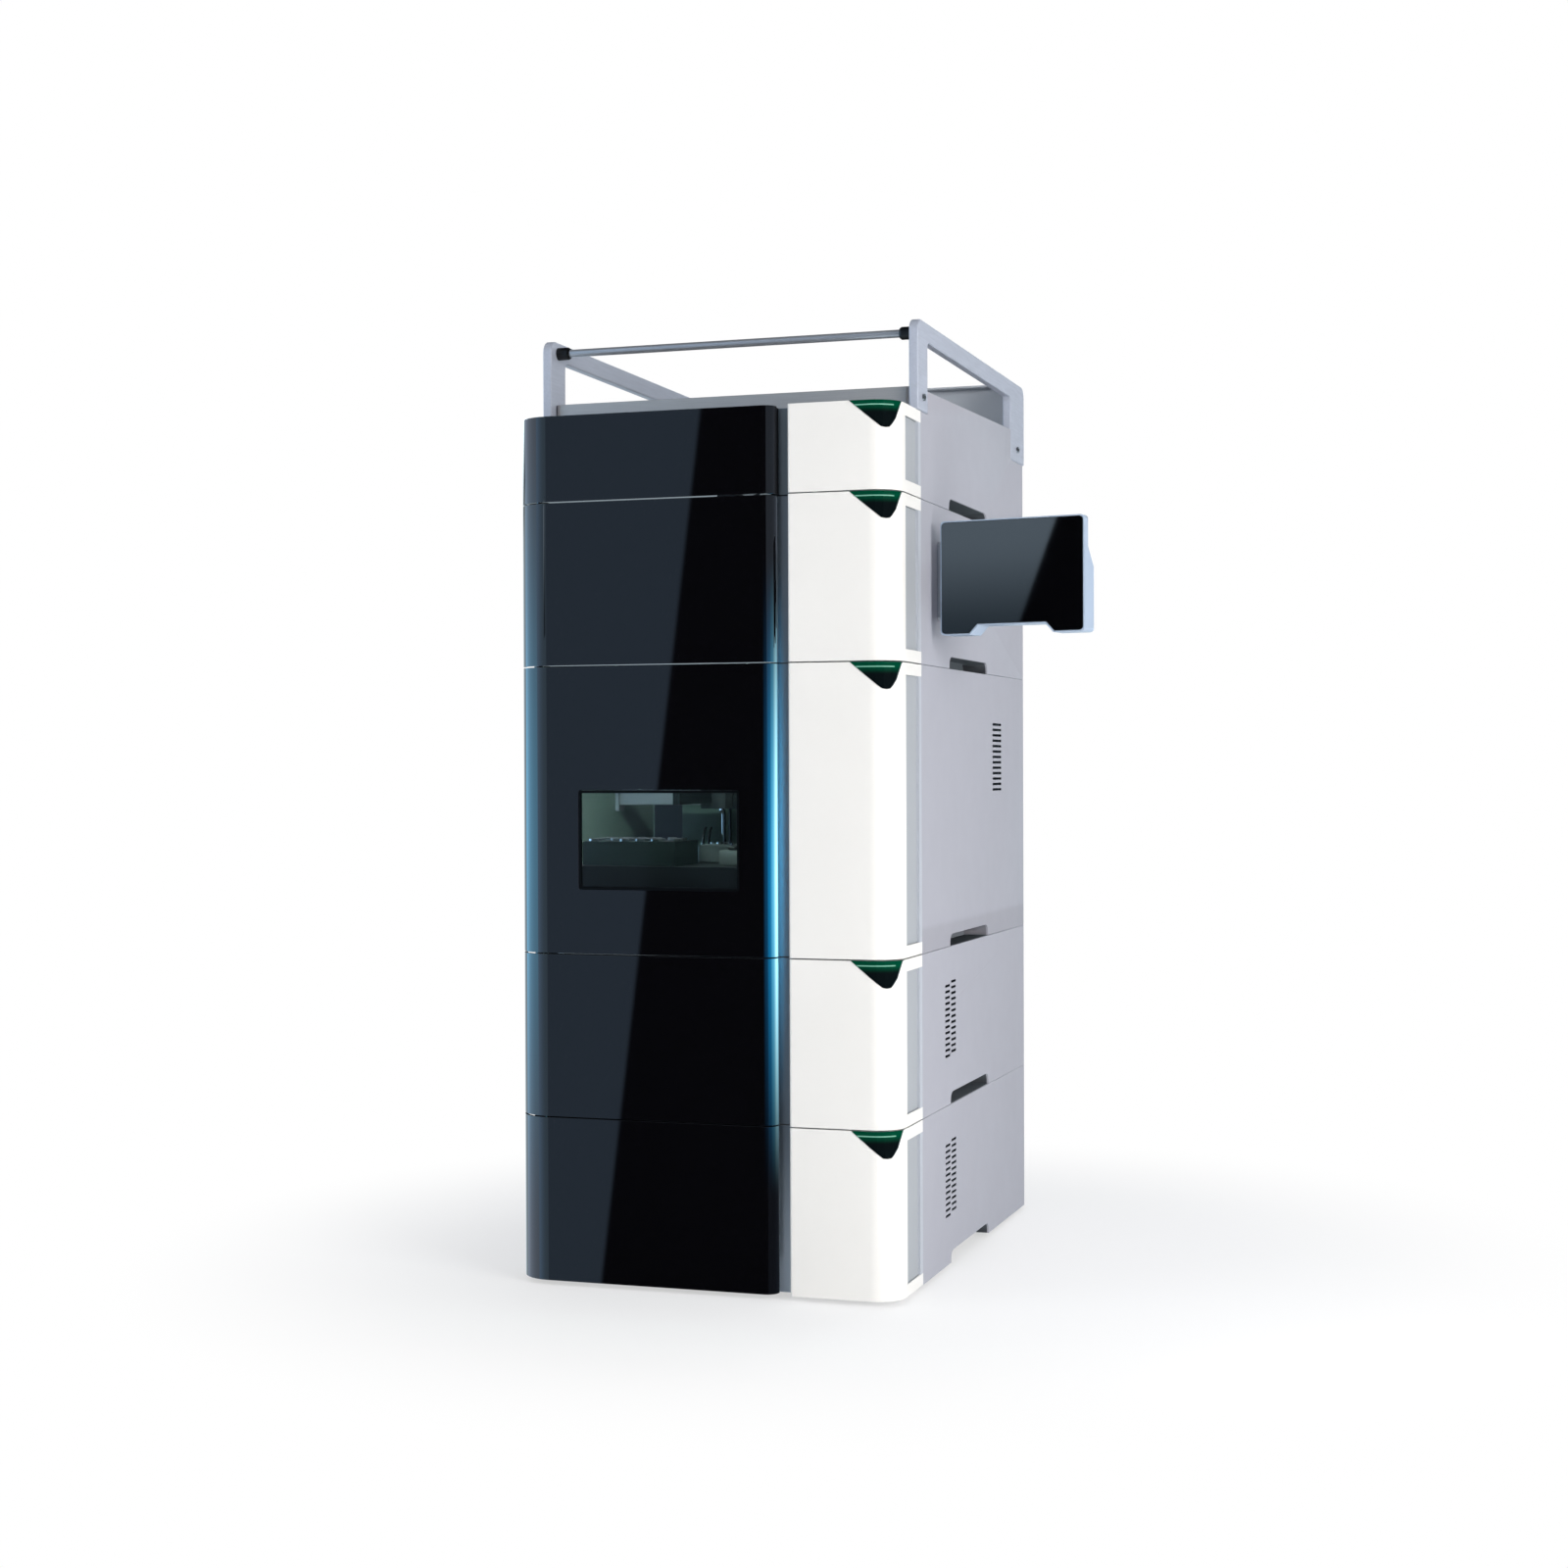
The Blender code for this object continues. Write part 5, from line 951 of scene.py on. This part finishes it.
def addDisplayBack():
    away = (sin(pad["turn"]), cos(pad["turn"]), 0)
    slots, cover, screws = bmesh.new(), bmesh.new(), bmesh.new()
    for row in range(4):
        for side in (-1, 1):
            addPlate(slots, side * pad["slotX"], pad["slotZ"] + row * pad["slotPitch"], 0.030, 0.0018,
                pad["thin"] - 0.0001, 0.0004, 0.0001)
    addPlate(cover, -0.046, -0.024, 0.044, 0.030, pad["thick"] - 0.0001, 0.0011, 0.0004)
    for up in pad["screwZ"]:
        for side in (-1, 1):
            addScrew(screws, pad["screw"], onDisplay(side * pad["screwX"], pad["thick"] - 0.0001, up), away)
    newPiece("display_slots", slots, plastic("display slot dark", paint(40, 46, 54), 0.6),
        "display")
    newPiece("display_cover", cover, plastic("display cover", displayColours["shell"], 0.4),
        "display")
    newPiece("display_screws", screws,
        metal("display screw steel", (0.58, 0.60, 0.62, 1), 0.3, (700, 700, 700)), body="display")


addDisplayBack()

# stage and light: the fronts mirror plain glowing cards, measured in the world
lensPlace = (0.7665, -2.6284, 0.5418)
stage = {"cardY": -6.0, "dark": (0.012, 0.012, 0.016, 1), "slate": (0.38, 0.54, 0.76, 1),
    "edge": (0.65, 0.95, 1.25, 1), "left": (1.1, 1.7, 2.5, 1), "display": (1.7, 2.2, 2.7, 1),
    "displayLow": (0.45, 0.65, 0.85, 1), "black": (0, 0, 0, 1),
    "doorLine": (-2.168, 1.7935, 0.1254), "displayLine": (-3.351, 1.4247, 0.4252)}
blue = {"first": (0.06, 1.1, 2.7, 1),
    "steps": ((-6.5, -2.3, (0.10, 4.4, 10.0, 1)), (-2.2, -0.4, (2.4, 12.0, 19.0, 1)),
        (-0.4, 1.2, (10.0, 21.0, 25.0, 1)), (1.5, 5.0, (1.6, 4.6, 6.2, 1))),
    "levels": (-0.44, 0.223), "low": (0.08, 0.10, 0.14, 1), "high": (0.38, 0.46, 0.58, 1),
    "left": -1.80, "right": 2.6}
frontPieces = [name + "_door_finished" for name in modules[:4]] + ["tray_front_panel_finished"]
linerNames = [name + "_liner" for name in modules[:4]]


def addSheet(name, low, high, material):
    # a flat rectangle between two corners that share one measure
    flat = [low[axis] == high[axis] for axis in range(3)].index(True)
    across, up = (axis for axis in range(3) if axis != flat)
    corners = [list(low) for corner in range(4)]
    for corner in (1, 2):
        corners[corner][across] = high[across]
    for corner in (2, 3):
        corners[corner][up] = high[up]
    shape = bmesh.new()
    shape.faces.new([shape.verts.new(corner) for corner in corners])
    mesh = bpy.data.meshes.new(name)
    shape.to_mesh(mesh)
    shape.free()
    mesh.materials.append(material)
    sheet = bpy.data.objects.new(name, mesh)
    bpy.context.scene.collection.objects.link(sheet)
    return sheet


def addCard(name, low, high, build, receivers=()):
    # a card that only glows, by place, and that the camera never sees
    material, tree, place = newMaterial(name.replace("_", " "))
    tree.nodes.remove(tree.nodes["Principled BSDF"])
    colour = build(*(component(place, index) for index in range(3)))
    glow = place.node("ShaderNodeEmission", {}, {"Color": colour})
    tree.links.new(glow.socket, tree.nodes["Material Output"].inputs[0])
    card = addSheet(name, low, high, material)
    card.visible_camera = False
    card.visible_diffuse = False
    card.visible_shadow = False
    if receivers:
        # only these pieces see the card
        group = bpy.data.collections.new(name + " receivers")
        for receiver in receivers:
            group.objects.link(bpy.data.objects[receiver])
        card.light_linking.receiver_collection = group
    return card


def slanted(z, line):
    # the x of a slanted line at a height
    x, level, slope = line
    return x + (z - level) * slope


def darkCard(x, y, z):
    # slate left of a slanted line for the fronts, lighter past their left end, a patch for the display
    inDoors = 1 - rise(x - slanted(z, stage["doorLine"]), -0.010, 0.010)
    colour = mix(inDoors, stage["dark"], stage["slate"])
    colour = mix(1 - rise(x, -2.83, -2.755), colour, stage["edge"])
    colour = mix(1 - rise(x, -8.5, -3.2), colour, stage["left"])
    patch = (x < -3.17) * (x > -3.90) * (z > 1.03) * (z < 1.54)
    bright = mix(rise(z, 1.05, 1.45), stage["displayLow"], stage["display"])
    pastLine = rise(x - slanted(z, stage["displayLine"]), -0.008, 0.008)
    return mix(patch, colour, mix(pastLine, bright, stage["dark"]))


def middleGlow(z, low, high):
    # strongest half way up, gone at the ends
    return rise(z, low, (low + high) / 2) * (1 - rise(z, (low + high) / 2, high))


def frontLevel(x, y, z):
    # how high on the fronts the photograph's viewer sees this place of a card, from the lens's height
    distance = length(x.node("ShaderNodeCombineXYZ", {}, {0: x, 1: y + 0.29}))
    level = z - lensPlace[2]
    return level.sum("DIVIDE", level, 1 + distance * 0.4065)


def leftCard(x, y, z):
    return mix(middleGlow(frontLevel(x, y, z), -0.50, 0.36), (1.25, 1.5, 1.9, 1), (1.30, 3.1, 4.6, 1))


def blueCard(x, y, z):
    # far to the right: deep blue by the front, paler blue toward the back
    hue = blue["first"]
    for start, end, colour in blue["steps"]:
        hue = mix(rise(y, start, end), hue, colour)
    level = frontLevel(x, y, z)
    plain = mix(rise(level, -0.3, 0.1), blue["low"], blue["high"])
    return mix(middleGlow(level, *blue["levels"]), plain, hue)


def blueFront(x, y, z):
    hue = mix(rise(x, blue["left"], 1.6), stage["dark"], blue["first"])
    return mix(middleGlow(frontLevel(x, y, z), *blue["levels"]), stage["dark"], hue)


def channelGlow(x, y, z):
    return mix(middleGlow(z, 0.17, 0.76), stage["black"], (1.6, 7.0, 11.0, 1))


def overheadCard(x, y, z):
    return mix(1 - rise(x, -3.0, 0.0), (0.4, 0.45, 0.5, 1), (5.0, 6.0, 6.6, 1))


def highLeftCard(x, y, z):
    return mix(rise(z, 2.0, 4.0), stage["black"], (18.0, 22.0, 24.0, 1))


addCard("dark_card", (-9, stage["cardY"], -4), (5, stage["cardY"], 6), darkCard)
addCard("left_card", (-9, -6, -4), (-9, 4, 6), leftCard)
addCard("blue_card", (blue["right"], -9.5, -9), (blue["right"], 8.0, 9), blueCard, frontPieces)
addCard("blue_front_card", (blue["left"], -5.9, -4), (blue["right"], -5.9, 6), blueFront, frontPieces)
# a slim strip in the channel beside the doors' edges, seen by the compartments alone
strip = addCard("channel_strip", at(0.0808, 0.0140, 0.04), at(0.0826, 0.0140, 1.0), channelGlow, linerNames)
strip.visible_diffuse = True
strip.visible_glossy = False
# these catch the upper edges of the fronts
addCard("overhead_card", (-5, -4, 4), (3, 4, 4), overheadCard, frontPieces[1:])
addCard("high_left_card", (-9.1, -8, 2), (-9.1, 12, 14), highLeftCard, frontPieces[1:])

# floor: white, and it keeps the shadow; far away it is plain white for the camera
floorMaterial, tree, place = newMaterial("floor")
shader = tree.nodes["Principled BSDF"]
shader.inputs["Base Color"].default_value = (0.93, 0.93, 0.94, 1)
shader.inputs["Roughness"].default_value = 0.7
shader.inputs["Specular IOR Level"].default_value = 0.2
eye = place.node("ShaderNodeLightPath", {}, {}, 0)
white = place.node("ShaderNodeEmission", {}, {"Color": (1, 1, 1, 1)})
far = (0.55 + rise(length(place), 0.35, 0.85) * 0.45) * eye
blend = place.node("ShaderNodeMixShader", {}, {0: far, 1: Wire(tree, shader.outputs[0]), 2: white})
tree.links.new(blend.socket, tree.nodes["Material Output"].inputs[0])
floor = addSheet("floor", (-9, -9, 0), (9, 9, 0), floorMaterial)
floor.visible_glossy = False   # the fronts mirror the dark card, not the floor
# nor do the glass of the display and the doors' edges mirror the tower's own side
ownSide = [name + ending for name in modules
    for ending in ("_fascia_finished", "_casing_finished", "_badge", "_status_line")]
for pieceName in ownSide + linerNames:
    bpy.data.objects[pieceName].visible_glossy = False

world = bpy.data.worlds.new("studio")
bpy.context.scene.world = world
world.use_nodes = True
tree = world.node_tree
tree.nodes.clear()
wire = Wire(tree)
seen, glossy, through = (wire.node("ShaderNodeLightPath", {}, {}, output) for output in (0, 3, 6))
skies = (((0.93, 0.96, 1.0, 1), 0.50), ((0.75, 0.90, 1.0, 1), 1.0), ((1, 1, 1, 1), 1.0))
fill, rim, plain = (wire.node("ShaderNodeBackground", {}, {"Color": colour, "Strength": strength})
    for colour, strength in skies)
mirrored = glossy.sum("MAXIMUM", glossy, through)
sky = wire.node("ShaderNodeMixShader", {}, {0: mirrored, 1: fill, 2: rim})
sky = wire.node("ShaderNodeMixShader", {}, {0: seen, 1: sky, 2: plain})
output = tree.nodes.new("ShaderNodeOutputWorld")
tree.links.new(sky.socket, output.inputs[0])

lamps = {   # place, size, power, colour
    "key": ((2.7, -1.9, 1.05), 1.6, 84.0, (1.0, 0.985, 0.97)),
    "left": ((-2.4, -2.0, 1.8), 1.6, 18.0, (0.96, 0.98, 1.0)),
    "rear": ((0.8, 2.8, 2.4), 1.8, 30.0, (0.96, 0.98, 1.0)),
    "low": ((0.75, -0.50, 0.10), 0.35, 1.6, (1.0, 0.99, 0.98)),
}
for name, (place, size, power, colour) in lamps.items():
    data = bpy.data.lights.new(name, "AREA")
    data.shape = "SQUARE"
    data.size = size
    data.energy = power
    data.color = colour
    lamp = bpy.data.objects.new(name, data)
    lamp.location = place
    aim = Vector((0, 0, 0.45)) - lamp.location
    lamp.rotation_euler = aim.to_track_quat("-Z", "Y").to_euler()
    lamp.visible_glossy = False
    lamp.visible_camera = False
    bpy.context.scene.collection.objects.link(lamp)
print("stage and light done")

# camera
view = {"yaw": 18.10, "pitch": -0.393, "roll": -0.197, "lens": 55.66}
yaw, pitch, roll = (radians(view[key]) for key in ("yaw", "pitch", "roll"))
forward = Vector((-sin(yaw) * cos(pitch), cos(yaw) * cos(pitch), sin(pitch)))
level = Vector((cos(yaw), sin(yaw), 0))
above = level.cross(forward)
right = cos(roll) * level + sin(roll) * above
upward = -sin(roll) * level + cos(roll) * above
lens = bpy.data.cameras.new("camera")
lens.lens = view["lens"]
lens.sensor_width = 36
camera = bpy.data.objects.new("camera", lens)
camera.matrix_world = Matrix((right, upward, -forward)).transposed().to_4x4()
camera.location = lensPlace
bpy.context.scene.collection.objects.link(camera)
bpy.context.scene.camera = camera
bpy.context.scene.view_settings.view_transform = "Standard"
